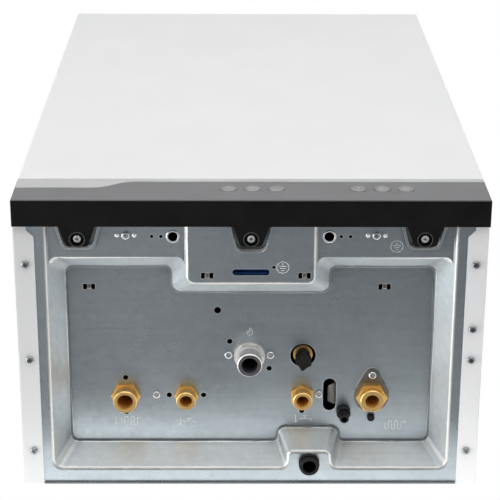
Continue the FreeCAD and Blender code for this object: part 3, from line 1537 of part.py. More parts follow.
node(turned([
    ("0", "0"),
    ("vessel_radius * vessel_crown_share", "0"),
    ("vessel_radius - vessel_rim", "vessel_depth / 2 - vessel_rim_gauge", "vessel_bend"),
    ("vessel_radius - vessel_rim", "vessel_depth / 2 - vessel_rim_gauge / 2"),
    ("vessel_radius", "vessel_depth / 2 - vessel_rim_gauge / 2"),
    ("vessel_radius", "vessel_depth / 2 + vessel_rim_gauge / 2"),
    ("vessel_radius - vessel_rim", "vessel_depth / 2 + vessel_rim_gauge / 2"),
    ("vessel_radius - vessel_rim", "vessel_depth / 2 + vessel_rim_gauge", "vessel_bend"),
    ("vessel_radius * vessel_crown_share", "vessel_depth"),
    ("vessel_port / 2", "vessel_depth"),
    ("vessel_port / 2", "vessel_depth - vessel_wall"),
    ("vessel_radius * vessel_crown_share", "vessel_depth - vessel_wall"),
    ("vessel_radius - vessel_rim - vessel_wall * 2", "vessel_depth / 2 + vessel_rim_gauge - vessel_wall"),
    ("vessel_radius - vessel_rim - vessel_wall * 2", "vessel_depth / 2 - vessel_rim_gauge + vessel_wall"),
    ("vessel_radius * vessel_crown_share", "vessel_wall"),
    ("0", "vessel_wall"),
], "0", "-1 * vessel_back", "vessel_height", FORWARD), "expansion_vessel")

# Gas valve, gas pipes, burner manifold and burner bars

valve = new_body()
valve_face = [
    ("-1 * valve_half", "valve_low", "valve_round"),
    ("valve_half", "valve_low", "valve_round"),
    ("valve_half", "valve_high", "valve_round"),
    ("-1 * valve_half", "valve_high", "valve_round"),
]
pad(valve, outline(valve, "XZ_Plane", valve_face, "valve_back"), "valve_front - valve_back")
coils = [(f"{side} * coil_radius", "valve_high - coil_radius - valve_round", "2 * coil_radius - gauge") for side in (-1, 1)]
pad(valve, rings(valve, "XZ_Plane", coils, "valve_front"), "coil_height")
dial = [("0", "valve_low + coil_radius + gauge", "coil_radius")]
pad(valve, rings(valve, "XZ_Plane", dial, "valve_front"), "nut_height")
node(seat(valve, "gas_at", "0", "0"), "gas_valve")

lower_gas = tube([("gas_at", "-1 * gas_line", "tail_top"), ("gas_at", "-1 * gas_line", "valve_low")],
                 "gas_pipe / 2", "gas_pipe_bore / 2", "copper_bend")
upper_gas = tube([
    ("gas_at", "-1 * gas_line", "valve_high"),
    ("gas_at", "-1 * gas_line", "gas_pipe_turn"),
    ("gas_at", "-1 * manifold_line", "gas_pipe_turn"),
    ("gas_at", "-1 * manifold_line", "manifold_low - manifold_radius"),
], "gas_pipe / 2", "gas_pipe_bore / 2", "copper_bend")
node(group([lower_gas, upper_gas]), "gas_pipes")

gas_bar = new_body()
pad(gas_bar, rings(gas_bar, "YZ_Plane", [("0", "0", "2 * manifold_radius")], "-1 * burner_half - manifold_radius"),
    "2 * (burner_half + manifold_radius)")
first_jet = pad(gas_bar, rings(gas_bar, "XZ_Plane", [
    ("-1 * burner_pitch * (burner_count - 1) / 2", "0", "2 * injector_radius"),
]), "manifold_radius + injector_length", back=True)
doc.recompute()
jets = gas_bar.newObject("PartDesign::LinearPattern", "jets")
jets.Originals = [first_jet]
jets.Direction = ([feature for feature in gas_bar.Origin.OriginFeatures if feature.Role == "X_Axis"][0], [""])
bind(jets, "Length", "burner_pitch * (burner_count - 1)")
bind(jets, "Occurrences", "burner_count")
gas_bar.Tip = jets
node(seat(gas_bar, "0", "-1 * manifold_line", "manifold_low"), "burner_manifold")

burner = new_body()
CHAMBER_INNER = "(chamber_half - chamber_gauge)"
BAR_LOW = "(chamber_low + burner_rise)"
rails = rectangle(f"-1 * {CHAMBER_INNER}", CHAMBER_INNER, "-1 * burner_back - burner_gauge", "-1 * burner_back")
front_rail = rectangle(f"-1 * {CHAMBER_INNER}", CHAMBER_INNER, "-1 * burner_front", "-1 * burner_front + burner_gauge")
pad(burner, outline(burner, "XY_Plane", rails, BAR_LOW, [front_rail]), "burner_tray")
first_bar_at = "-1 * burner_pitch * (burner_count - 1) / 2"
bar = rectangle(f"{first_bar_at} - burner_gauge / 2", f"{first_bar_at} + burner_gauge / 2",
                "-1 * burner_front", "-1 * burner_back")
first_bar = pad(burner, outline(burner, "XY_Plane", bar, f"{BAR_LOW} + burner_tray"), "burner_height")
doc.recompute()
bars = burner.newObject("PartDesign::LinearPattern", "bars")
bars.Originals = [first_bar]
bars.Direction = ([feature for feature in burner.Origin.OriginFeatures if feature.Role == "X_Axis"][0], [""])
bind(bars, "Length", "burner_pitch * (burner_count - 1)")
bind(bars, "Occurrences", "burner_count")
burner.Tip = bars
first_port = "-1 * burner_back - burner_slot_pitch"
port_spots = []
for number in range(int(value("slot_count"))):
    low = f"{first_port} - burner_slot_pitch * {number} - burner_slot"
    high = f"{first_port} - burner_slot_pitch * {number}"
    port_spots.append(rectangle(f"-1 * burner_half - burner_gauge", "burner_half + burner_gauge", low, high))
ports = outline(burner, "XY_Plane", port_spots[0], f"{BAR_LOW} + burner_tray + burner_height + overrun", port_spots[1:])
pocket(burner, ports, "overrun + burner_slot * 2")
node(burner, "burner_bars")

# Combustion chamber, finned heat exchanger and flue hood

chamber = new_body()
outer_wall = rectangle("-1 * chamber_half", "chamber_half", "-1 * chamber_front", "-1 * chamber_back")
inner_wall = rectangle(f"-1 * {CHAMBER_INNER}", CHAMBER_INNER,
                       "-1 * chamber_front + chamber_gauge", "-1 * chamber_back - chamber_gauge")
pad(chamber, outline(chamber, "XY_Plane", outer_wall, "chamber_low", [inner_wall]), "chamber_high - chamber_low")
brackets = [
    rectangle(f"{side} * (chamber_half - chamber_gauge / 2)", f"{side} * ({HALF} - gauge)",
              "-1 * chamber_back - chamber_gauge - plate_gauge", "-1 * chamber_back - chamber_gauge")
    for side in (-1, 1)
]
pad(chamber, outline(chamber, "XY_Plane", brackets[0], "chamber_high - bracket_height", brackets[1:]), "bracket_height")
STUB_LINE = "(exchanger_back + exchanger_tube_pitch / 2)"
STUB_LEVEL = "(exchanger_low + exchanger_height / 2)"
stub_hole = [(f"-1 * {STUB_LINE}", STUB_LEVEL, "2 * (stub_radius + pipe_gap)")]
pocket(chamber, rings(chamber, "YZ_Plane", stub_hole, "chamber_half + overrun"), "2 * (chamber_half + overrun)")
spark_holes = [(f"{side} * electrode_pitch", "electrode_level", "2 * (electrode_radius + slip)") for side in (-1, 1)]
pocket(chamber, rings(chamber, "XZ_Plane", spark_holes, "chamber_front + overrun"), "overrun * 2")
node(chamber, "combustion_chamber")

exchanger = new_body()
HEADER_IN = "(exchanger_half)"
headers = [
    rectangle(f"{side} * {HEADER_IN}", f"{side} * {CHAMBER_INNER}", "-1 * exchanger_front", "-1 * exchanger_back")
    for side in (-1, 1)
]
pad(exchanger, outline(exchanger, "XY_Plane", headers[0], "exchanger_low", headers[1:]), "exchanger_height")
channels = []
for number in range(SIZES["exchanger_tube_count"]):
    middle = f"exchanger_back + exchanger_tube_pitch * ({number} + 1 / 2)"
    channels.append(rectangle(f"-1 * ({middle}) - exchanger_tube_wide / 2", f"-1 * ({middle}) + exchanger_tube_wide / 2",
                              f"{STUB_LEVEL} - exchanger_tube_high / 2", f"{STUB_LEVEL} + exchanger_tube_high / 2"))
tubes = outline(exchanger, "YZ_Plane", channels[0], f"-1 * {HEADER_IN} - gauge", channels[1:])
pad(exchanger, tubes, f"2 * {HEADER_IN} + 2 * gauge")
fin = rectangle("-1 * exchanger_front + fin_margin", "-1 * exchanger_back - fin_margin",
                "exchanger_low + fin_margin", "exchanger_low + exchanger_height - fin_margin")
first_fin = pad(exchanger, outline(exchanger, "YZ_Plane", fin, "-1 * fin_pitch * (fin_count - 1) / 2"), "fin_gauge")
doc.recompute()
fins = exchanger.newObject("PartDesign::LinearPattern", "fins")
fins.Originals = [first_fin]
fins.Direction = ([feature for feature in exchanger.Origin.OriginFeatures if feature.Role == "X_Axis"][0], [""])
bind(fins, "Length", "fin_pitch * (fin_count - 1)")
bind(fins, "Occurrences", "fin_count")
exchanger.Tip = fins
stub = [(f"-1 * {STUB_LINE}", STUB_LEVEL, "2 * stub_radius")]
pad(exchanger, rings(exchanger, "YZ_Plane", stub, HEADER_IN), "stub_end - exchanger_half")
pad(exchanger, rings(exchanger, "YZ_Plane", stub, f"-1 * {HEADER_IN}"), "stub_end - exchanger_half", back=True)
node(exchanger, "heat_exchanger")

hood = new_body()
FAN_BACK = "(flue_depth - fan_width / 2)"
FAN_FRONT = "(flue_depth + fan_width / 2)"


def hood_plan(inset):
    wide = rectangle(f"-1 * chamber_half + {inset}", f"chamber_half - {inset}",
                     f"-1 * chamber_front + {inset}", f"-1 * chamber_back - {inset}")
    neck = rectangle(f"-1 * hood_neck_half + {inset}", f"hood_neck_half - {inset}",
                     f"-1 * {FAN_FRONT} + {inset}", f"-1 * {FAN_BACK} - {inset}")
    return wide, neck


wide, neck = hood_plan("0")
loft(hood, "AdditiveLoft", outline(hood, "XY_Plane", wide, "chamber_high"), outline(hood, "XY_Plane", neck, "hood_high"))
wide, neck = hood_plan("hood_gauge")
loft(hood, "SubtractiveLoft", outline(hood, "XY_Plane", wide, "chamber_high"), outline(hood, "XY_Plane", neck, "hood_high"))
node(hood, "flue_hood")

# Extraction fan: scroll, wheel and motor, then the flue collar

scroll = join([
    rod("0", f"-1 * {FAN_BACK}", "fan_axis", "fan_radius", "fan_width", FORWARD),
    box(("-1 * hood_neck_half", "hood_neck_half"), (f"-1 * {FAN_FRONT}", f"-1 * {FAN_BACK}"), ("hood_high", "fan_axis")),
    rod("0", "-1 * flue_depth", "fan_axis", "flue_bore / 2 + flue_wall - fan_play", "fan_duct_high - fan_axis"),
])
scroll_cut = [
    rod("0", f"-1 * {FAN_BACK} - fan_wall", "fan_axis", "fan_radius - fan_wall", "fan_width - 2 * fan_wall", FORWARD),
    box(("-1 * hood_neck_half + fan_wall", "hood_neck_half - fan_wall"),
        (f"-1 * {FAN_FRONT} + fan_wall", f"-1 * {FAN_BACK} - fan_wall"), ("hood_high - overrun", "fan_axis")),
    rod("0", "-1 * flue_depth", "fan_axis", "flue_bore / 2 - fan_play", "casing_height - fan_axis"),
    rod("0", f"-1 * {FAN_FRONT} + 2 * fan_wall", "fan_axis", "fan_shaft * 2", "overrun * 2", FORWARD),
]
node(cut(scroll, scroll_cut), "fan_housing")

wheel = new_body()
WHEEL_FRONT = "(-1 * fan_wall - fan_play / 2)"
spin(wheel, outline(wheel, "XZ_Plane", [
    ("0", f"{WHEEL_FRONT} - fan_disc - fan_blade_width"),
    ("fan_hub", f"{WHEEL_FRONT} - fan_disc - fan_blade_width"),
    ("fan_hub", f"{WHEEL_FRONT} - fan_disc"),
    ("fan_rotor", f"{WHEEL_FRONT} - fan_disc"),
    ("fan_rotor", WHEEL_FRONT),
    ("fan_shaft", WHEEL_FRONT),
    ("fan_shaft", "fan_motor_height / 2"),
    ("0", "fan_motor_height / 2"),
]))
blade = rectangle("fan_blade_inner", "fan_rotor - gauge", "-1 * fan_blade_gauge / 2", "fan_blade_gauge / 2")
first_blade = pad(wheel, outline(wheel, "XY_Plane", blade, f"{WHEEL_FRONT} - fan_disc / 2"), "fan_blade_width", back=True)
doc.recompute()
blades = wheel.newObject("PartDesign::PolarPattern", "blades")
blades.Originals = [first_blade]
blades.Axis = ([feature for feature in wheel.Origin.OriginFeatures if feature.Role == "Z_Axis"][0], [""])
blades.Angle = 360
bind(blades, "Occurrences", "fan_blade_count")
wheel.Tip = blades
node(seat(wheel, "0", f"-1 * {FAN_FRONT}", "fan_axis", FORWARD), "fan_wheel")

node(turned([
    ("fan_shaft + shaft_gap", "0"),
    ("fan_motor_radius", "0"),
    ("fan_motor_radius", "fan_motor_height", "valve_round"),
    ("0", "fan_motor_height"),
    ("0", "fan_motor_height / 2 + running_gap"),
    ("fan_shaft + shaft_gap", "fan_motor_height / 2 + running_gap"),
], "0", f"-1 * {FAN_FRONT}", "fan_axis", FORWARD), "fan_motor")

node(turned([
    ("flue_bore / 2 - fan_play", "fan_duct_high - casing_height + gauge"),
    ("flue_bore / 2 + flue_wall", "fan_duct_high - casing_height + gauge"),
    ("flue_bore / 2 + flue_wall", "0"),
    ("collar_flange / 2", "0"),
    ("collar_flange / 2", "collar_gauge"),
    ("flue_bore / 2 + flue_wall", "collar_gauge"),
    ("flue_bore / 2 + flue_wall", "flue_rise"),
    ("flue_bore / 2", "flue_rise"),
    ("flue_bore / 2", "fan_duct_high - casing_height + gauge + flue_wall"),
    ("flue_bore / 2 - fan_play", "fan_duct_high - casing_height + gauge + flue_wall"),
], "0", "-1 * flue_depth", "casing_height - gauge"), "flue_collar")


def electrode(side):
    return turned([
        ("0", "0"),
        ("electrode_radius", "0"),
        ("electrode_radius", "electrode_length"),
        ("electrode_tip", "electrode_length"),
        ("electrode_tip", "electrode_length + electrode_wire"),
        ("0", "electrode_length + electrode_wire"),
    ], f"{side} * electrode_pitch", "-1 * chamber_front - nut_height", "electrode_level", BACKWARD)


node(group([electrode(-1), electrode(1)]), "ignition_electrodes")

# Copper pipes between the water side and the heat exchanger

node(tube([
    ("-1 * stub_end", f"-1 * {STUB_LINE}", STUB_LEVEL),
    ("-1 * copper_line", f"-1 * {STUB_LINE}", STUB_LEVEL),
    ("-1 * copper_line", f"-1 * {STUB_LINE}", "copper_turn"),
    ("-1 * copper_line", "-1 * pipe_line", "copper_turn - copper_step"),
    ("-1 * copper_line", "-1 * pipe_line", "diverter_high - arm_radius * 2"),
    ("flow_at - diverter_radius - nut_margin", "-1 * pipe_line", "diverter_high - arm_radius * 2"),
], "copper_radius", "copper_bore", "copper_bend"), "flow_pipe")
node(tube([
    ("stub_end", f"-1 * {STUB_LINE}", STUB_LEVEL),
    ("copper_line", f"-1 * {STUB_LINE}", STUB_LEVEL),
    ("copper_line", f"-1 * {STUB_LINE}", "copper_turn"),
    ("return_at", "-1 * pipe_line", "copper_turn"),
    ("return_at", "-1 * pipe_line", "pump_axis + pump_radius + nut_height"),
], "copper_radius", "copper_bore", "copper_bend"), "return_pipe")

# Electronics tray, main board and the wires above the long slot

BOX_FRONT = f"({PANEL_FRONT} - gauge)"
tray = new_body()
tray_face = rectangle("-1 * box_half", "box_half", "box_low", "box_high")
pad(tray, outline(tray, "XZ_Plane", tray_face, "box_back"), f"{BOX_FRONT} - box_back")
tray_inner = rectangle("-1 * box_half + box_wall", "box_half - box_wall", "box_low + box_wall", "box_high - box_wall")
pocket(tray, outline(tray, "XZ_Plane", tray_inner, f"{BOX_FRONT} + overrun"), f"overrun + {BOX_FRONT} - box_back - box_wall")
ears = [
    rectangle(f"{side} * (box_half - box_wall / 2)", f"{side} * box_ear_half", "box_ear_low", "box_ear_high")
    for side in (-1, 1)
]
pad(tray, outline(tray, "XZ_Plane", ears[0], f"{BOX_FRONT} - box_wall", ears[1:]), "box_wall")
posts = [
    (f"{across} * (box_half - 2 * main_board_margin)", height, "2 * boss_radius")
    for across in (-1, 1)
    for height in ("box_low + 2 * main_board_margin", "box_high - 2 * main_board_margin")
]
pad(tray, rings(tray, "XZ_Plane", posts, "box_back + box_wall"), "main_board_lift")
node(tray, "electronics_tray")

main_board = new_body()
BOARD_SEAT = "(box_back + box_wall + main_board_lift)"
main_face = rectangle("-1 * box_half + main_board_margin", "box_half - main_board_margin",
                      "box_low + main_board_margin", "box_high - main_board_margin")
pad(main_board, outline(main_board, "XZ_Plane", main_face, BOARD_SEAT), "board_gauge")
relays = [
    rectangle(f"relay_pitch * {step} - relay_width / 2", f"relay_pitch * {step} + relay_width / 2",
              "box_low + 3 * main_board_margin", "box_low + 3 * main_board_margin + relay_width * 2")
    for step in (-4, -3, -2, 1, 2)
]
pad(main_board, outline(main_board, "XZ_Plane", relays[0], f"{BOARD_SEAT} + board_gauge", relays[1:]), "relay_height")
caps = [(f"relay_pitch * {step}", "box_high - 4 * main_board_margin", "relay_width") for step in (-3, 0, 3, 4)]
pad(main_board, rings(main_board, "XZ_Plane", caps, f"{BOARD_SEAT} + board_gauge"), "relay_height + nut_height")
node(main_board, "main_board")


def wire(shift, left, right):
    line = f"-1 * wire_slot_depth + ({shift})"
    return tube([
        (f"-1 * wire_reach * ({left})", line, "box_low"),
        (f"-1 * wire_reach * ({left})", line, "wire_rise"),
        (f"wire_reach * ({right})", line, "wire_rise"),
        (f"wire_reach * ({right})", line, "box_low"),
    ], "wire_radius", None, "wire_bend")


node(group([wire("-1 * wire_pitch", "1", "1"), wire("0", "1", "1"), wire("wire_pitch", "1", "1")]), "wiring_loom")


# Every piece is checked, then written out under its own name

doc.recompute()
for thing in doc.Objects:
    if "Invalid" in thing.State or "Error" in thing.State:
        raise RuntimeError(f"{thing.Label} does not build: {thing.State}")
os.makedirs("parts", exist_ok=True)
for piece in NODES:
    shape = piece.Shape
    if shape.isNull() or not shape.isValid():
        raise RuntimeError(f"{piece.Label} has no sound shape")
    shape.exportStep(f"parts/{piece.Label}.step")
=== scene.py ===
"""Looks of the wall hung gas boiler: finishes, small fittings, signs, light and camera."""

import math
from collections import namedtuple

import bpy
from mathutils import Matrix, Vector
from mathutils.bvhtree import BVHTree


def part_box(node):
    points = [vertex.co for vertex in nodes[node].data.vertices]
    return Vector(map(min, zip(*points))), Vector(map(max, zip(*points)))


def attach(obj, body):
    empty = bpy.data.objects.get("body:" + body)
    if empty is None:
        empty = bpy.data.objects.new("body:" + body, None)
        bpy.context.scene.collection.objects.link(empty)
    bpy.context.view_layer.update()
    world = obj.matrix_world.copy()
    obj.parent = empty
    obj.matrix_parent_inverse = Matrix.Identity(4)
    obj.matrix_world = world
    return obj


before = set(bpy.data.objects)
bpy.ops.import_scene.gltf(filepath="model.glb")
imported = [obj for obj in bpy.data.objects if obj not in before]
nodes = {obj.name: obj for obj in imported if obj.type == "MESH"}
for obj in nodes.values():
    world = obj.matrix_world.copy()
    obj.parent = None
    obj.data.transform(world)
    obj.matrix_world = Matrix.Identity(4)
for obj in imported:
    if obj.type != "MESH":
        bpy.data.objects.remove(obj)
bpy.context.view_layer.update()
scene = bpy.context.scene

# Lengths on the object are in millimetres, and those of the studio in metres
MM = 0.001
CASING = "casing"

# Heights of the bottom plate's faces
RIM = 1.0
LEDGE = 5.0
FLOOR = 29.0


def middle_of(label):
    """The middle of a node's box, to a thousandth of a millimetre."""
    low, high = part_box(label)
    return Vector([round(part / MM, 3) for part in (low + high) / 2])


# Parts of finishes

def new_tree(name):
    made = bpy.data.materials.new(name)
    made.use_nodes = True
    tree = made.node_tree
    return made, tree, tree.nodes["Principled BSDF"]


def coordinates(tree, stretch=(1, 1, 1)):
    place = tree.nodes.new("ShaderNodeTexCoord")
    mapping = tree.nodes.new("ShaderNodeMapping")
    mapping.inputs["Scale"].default_value = stretch
    tree.links.new(place.outputs["Object"], mapping.inputs["Vector"])
    return mapping.outputs["Vector"]


def noise(tree, vector, scale, detail=4.0, rough=0.55):
    made = tree.nodes.new("ShaderNodeTexNoise")
    made.inputs["Scale"].default_value = scale
    made.inputs["Detail"].default_value = detail
    made.inputs["Roughness"].default_value = rough
    tree.links.new(vector, made.inputs["Vector"])
    return made.outputs["Fac"]


def spread(tree, source, low, high, start=0.3, end=0.7):
    """Turns the range from start to end into the range from low to high."""
    made = tree.nodes.new("ShaderNodeMapRange")
    made.inputs["From Min"].default_value = start
    made.inputs["From Max"].default_value = end
    made.inputs["To Min"].default_value = low
    made.inputs["To Max"].default_value = high
    tree.links.new(source, made.inputs["Value"])
    return made.outputs["Result"]


# The colour sockets of a mix node, whose names are shared by its other sockets
MIX_FIRST, MIX_SECOND, MIX_RESULT = 6, 7, 2


def blend_colours(tree, factor, first, second):
    made = tree.nodes.new("ShaderNodeMix")
    made.data_type = "RGBA"
    tree.links.new(factor, made.inputs["Factor"])
    for socket, colour in ((made.inputs[MIX_FIRST], first), (made.inputs[MIX_SECOND], second)):
        if isinstance(colour, tuple):
            socket.default_value = (*colour, 1)
        else:
            tree.links.new(colour, socket)
    return made.outputs[MIX_RESULT]


def edges(tree, radius, sharp=0.75, soft=0.985):
    """One on edges, nought on flat faces. It masks edge wear and painted edge highlights."""
    round_normal = tree.nodes.new("ShaderNodeBevel")
    round_normal.samples = 4
    round_normal.inputs["Radius"].default_value = radius * MM
    flat = tree.nodes.new("ShaderNodeNewGeometry")
    dot = tree.nodes.new("ShaderNodeVectorMath")
    dot.operation = "DOT_PRODUCT"
    tree.links.new(round_normal.outputs["Normal"], dot.inputs[0])
    tree.links.new(flat.outputs["Normal"], dot.inputs[1])
    return spread(tree, dot.outputs["Value"], 1, 0, sharp, soft)


def corners(tree, reach, closed=0.5, clear=0.88):
    """One in inner corners, nought on open faces: the mask of the painted shade in the corners."""
    made = tree.nodes.new("ShaderNodeAmbientOcclusion")
    made.samples = 8
    made.only_local = True
    made.inputs["Distance"].default_value = reach * MM
    return spread(tree, made.outputs["AO"], 1, 0, closed, clear)


def bump(tree, shader, height, strength, depth):
    made = tree.nodes.new("ShaderNodeBump")
    made.inputs["Strength"].default_value = strength
    made.inputs["Distance"].default_value = depth * MM
    tree.links.new(height, made.inputs["Height"])
    tree.links.new(made.outputs["Normal"], shader.inputs["Normal"])


def shade(colour, share):
    return tuple(min(1.0, part * share) for part in colour)


# Kinds of finish

COAT_ROUGHNESS = 0.15


def finish(name, colour, rough, metal=0.0, vary=0.06, cloud=40, grain=2500, grain_depth=0.02, rough_vary=0.06,
           stretch=(1, 1, 1), edge_wear_and_highlight=None, coat=0.0, strength=0.25, specular=0.5):
    """A finish with a cloudy colour, uneven gloss, a fine grain and, where named, edges of another colour.

    Cloud and grain are scales of noise. The edge entry gives the reach of that edge band and its colour,
    which stands for edge wear and on some finishes for a painted highlight.
    """
    made, tree, shader = new_tree(name)
    vector = coordinates(tree, stretch)
    clouds = noise(tree, vector, cloud)
    fine = noise(tree, vector, grain, detail=2.0)
    tone = blend_colours(tree, spread(tree, clouds, 0, 1), shade(colour, 1 - vary), shade(colour, 1 + vary))
    # The edge band: edge wear, and on the buttons, the black plastics and the dark zinc also a painted
    # highlight.
    if edge_wear_and_highlight:
        reach, edge_tone = edge_wear_and_highlight
        tone = blend_colours(tree, edges(tree, reach), tone, edge_tone)
    tree.links.new(tone, shader.inputs["Base Color"])
    shader.inputs["Metallic"].default_value = metal
    shader.inputs["Specular IOR Level"].default_value = specular
    shader.inputs["Coat Weight"].default_value = coat
    shader.inputs["Coat Roughness"].default_value = COAT_ROUGHNESS
    tree.links.new(spread(tree, clouds, rough - rough_vary, rough + rough_vary), shader.inputs["Roughness"])
    bump(tree, shader, fine, strength, grain_depth)
    return made


SPANGLE_SCALE = 170
STREAK_SCALE = 18
STREAK_STRETCH = (1, 14, 14)
SMUDGE_SCALE = 9
DIMPLE_SCALE = 700
# The painted highlight on the bends: its colour and reach. Then the reach of the painted shade in the inner
# corners.
BEND_HIGHLIGHT = (0.90, 0.91, 0.90)
BEND_HIGHLIGHT_REACH = 1.6
CORNER_SHADE_REACH = 20
ZINC_METAL = 0.9


def galvanised(name, colour, rough=(0.22, 0.35)):
    """Zinc coated sheet: faint spangle, rolling streaks, smudges, a painted highlight on the bends and
    painted shade in the inner corners.
    """
    made, tree, shader = new_tree(name)
    vector = coordinates(tree)
    crystals = tree.nodes.new("ShaderNodeTexVoronoi")
    crystals.inputs["Scale"].default_value = SPANGLE_SCALE
    tree.links.new(vector, crystals.inputs["Vector"])
    grey = tree.nodes.new("ShaderNodeSeparateColor")
    tree.links.new(crystals.outputs["Color"], grey.inputs["Color"])
    spangle = blend_colours(tree, grey.outputs["Red"], shade(colour, 0.94), shade(colour, 1.06))
    streaks = noise(tree, coordinates(tree, STREAK_STRETCH), STREAK_SCALE, detail=5.0)
    smudges = noise(tree, vector, SMUDGE_SCALE, detail=5.0)
    tone = blend_colours(tree, spread(tree, smudges, 0, 0.55), spangle, shade(colour, 0.82))
    tone = blend_colours(tree, spread(tree, streaks, 0, 0.22), tone, shade(colour, 1.3))
    # Painted highlight along the bends.
    tone = blend_colours(tree, edges(tree, BEND_HIGHLIGHT_REACH, sharp=0.86), tone, BEND_HIGHLIGHT)
    # Painted shade: the zinc goes darker in the inner corners.
    tone = blend_colours(tree, corners(tree, CORNER_SHADE_REACH), tone, shade(colour, 0.45))
    tree.links.new(tone, shader.inputs["Base Color"])
    shader.inputs["Metallic"].default_value = ZINC_METAL
    tree.links.new(spread(tree, smudges, *rough), shader.inputs["Roughness"])
    bump(tree, shader, noise(tree, vector, DIMPLE_SCALE, detail=3.0), strength=0.12, depth=0.03)
    return made


RING_SCALE = 2600
RING_STRETCH = (0.05, 0.05, 1)
TARNISH_SCALE = 130
TURNED_EDGE_REACH = 0.5


def turned(name, colour, rough=0.22, patina=None):
    """Lathe turned metal: fine rings, a cloudy tarnish and a painted highlight on the edges."""
    made, tree, shader = new_tree(name)
    vector = coordinates(tree)
    rings = noise(tree, coordinates(tree, RING_STRETCH), RING_SCALE, detail=2.0)
    clouds = noise(tree, vector, TARNISH_SCALE, detail=5.0)
    tone = blend_colours(tree, spread(tree, clouds, 0, 0.7), colour, patina or shade(colour, 0.66))
    tone = blend_colours(tree, spread(tree, rings, 0, 0.25), tone, shade(colour, 1.25))
    # Painted highlight: the edges are brighter than the faces.
    tone = blend_colours(tree, edges(tree, TURNED_EDGE_REACH), tone, shade(colour, 1.35))
    tree.links.new(tone, shader.inputs["Base Color"])
    shader.inputs["Metallic"].default_value = 1.0
    tree.links.new(spread(tree, clouds, rough - 0.06, rough + 0.12), shader.inputs["Roughness"])
    bump(tree, shader, rings, strength=0.2, depth=0.02)
    return made


def printed(name, colour, rough):
    """Ink or an engraved mark, slightly uneven."""
    return finish(name, colour, rough, vary=0.08, cloud=400, grain=3000, grain_depth=0.01, rough_vary=0.05)


# Finishes of the solids

white_paint = finish("white_paint", (0.80, 0.80, 0.805), rough=0.36, vary=0.012, cloud=14, grain=900,
                     grain_depth=0.012, rough_vary=0.03, strength=0.12, specular=0.1)
side_paint = finish("side_paint", (0.80, 0.80, 0.805), rough=0.42, vary=0.015, cloud=14, grain=1100,
                    grain_depth=0.02, rough_vary=0.03, strength=0.15)
zinc_sheet = galvanised("galvanised_sheet", (0.42, 0.47, 0.50))
black_plastic = finish("black_plastic", (0.005, 0.005, 0.0052), rough=0.45, vary=0.15, cloud=60, grain=1800,
                       grain_depth=0.05, rough_vary=0.06, edge_wear_and_highlight=(0.5, (0.03, 0.03, 0.031)), specular=0.16)
matt_black = finish("matt_black_plastic", (0.006, 0.006, 0.0065), rough=0.42, vary=0.2, cloud=90, grain=2200,
                    grain_depth=0.04, edge_wear_and_highlight=(0.4, (0.05, 0.05, 0.05)), specular=0.22)
fascia_grey = finish("fascia_grey", (0.25, 0.25, 0.255), rough=0.34, metal=0.15, vary=0.03, cloud=25,
                     grain=2600, grain_depth=0.02, rough_vary=0.04, coat=0.2)
trim_silver = finish("trim_silver", (0.66, 0.66, 0.665), rough=0.40, metal=0.25, vary=0.03, cloud=30,
                     grain=2600, grain_depth=0.015, rough_vary=0.04, coat=0.2)
# The light edges of the buttons are a painted highlight.
button_grey = finish("button_grey", (0.30, 0.30, 0.305), rough=0.42, metal=0.1, vary=0.04, cloud=60,
                     grain=2600, grain_depth=0.012, edge_wear_and_highlight=(0.4, (0.5, 0.5, 0.5)))
bright_zinc = turned("bright_zinc", (0.80, 0.81, 0.82), rough=0.2)
side_zinc = turned("side_zinc", (0.42, 0.43, 0.44), rough=0.24, patina=(0.26, 0.27, 0.28))
screw_zinc = turned("screw_zinc", (0.68, 0.69, 0.69), rough=0.5, patina=(0.5, 0.51, 0.51))
# Dark zinc for the clamp plate and clip straps. Its nearly white edges are partly edge wear and partly a
# painted highlight.
dark_zinc = finish("dark_zinc", (0.24, 0.23, 0.22), rough=0.34, metal=0.9, vary=0.2, cloud=200, grain=2000,
                   edge_wear_and_highlight=(1.0, (0.95, 0.95, 0.95)))
brass = turned("brass", (0.92, 0.59, 0.22), rough=0.42, patina=(0.64, 0.37, 0.11))
nickel = turned("nickel", (0.88, 0.87, 0.84), rough=0.44, patina=(0.64, 0.63, 0.60))
copper = turned("copper", (0.84, 0.46, 0.31), rough=0.26, patina=(0.52, 0.26, 0.16))
stainless = finish("stainless", (0.62, 0.62, 0.63), rough=0.3, metal=1.0, vary=0.1, cloud=30, grain=1500,
                   stretch=(1, 8, 1), edge_wear_and_highlight=(0.5, (0.85, 0.85, 0.86)))
aluminised = finish("aluminised_steel", (0.60, 0.61, 0.62), rough=0.38, metal=1.0, vary=0.1, cloud=60,
                    grain=900, grain_depth=0.03, edge_wear_and_highlight=(0.6, (0.82, 0.83, 0.84)))
cast_black = finish("cast_black", (0.045, 0.045, 0.048), rough=0.6, metal=0.3, vary=0.25, cloud=120,
                    grain=700, grain_depth=0.12, edge_wear_and_highlight=(0.6, (0.2, 0.2, 0.2)))
red_enamel = finish("red_enamel", (0.45, 0.035, 0.03), rough=0.32, vary=0.06, cloud=30, grain=700,
                    grain_depth=0.02, coat=0.3)
impeller_white = finish("impeller_plastic", (0.70, 0.68, 0.62), rough=0.45, vary=0.06, cloud=80, grain=1500)
board_green = finish("circuit_board", (0.02, 0.14, 0.06), rough=0.35, vary=0.3, cloud=300, grain=900,
                     grain_depth=0.1, coat=0.3)
display_black = finish("display_black", (0.01, 0.012, 0.012), rough=0.12, vary=0.2, cloud=90, grain=2000,
                       grain_depth=0.005, coat=0.5)
ceramic = finish("ceramic", (0.78, 0.76, 0.71), rough=0.3, vary=0.05, cloud=120, grain=1500, coat=0.3)
wire_blue = finish("wire_blue", (0.012, 0.10, 0.36), rough=0.42, vary=0.1, cloud=200, grain=2500)

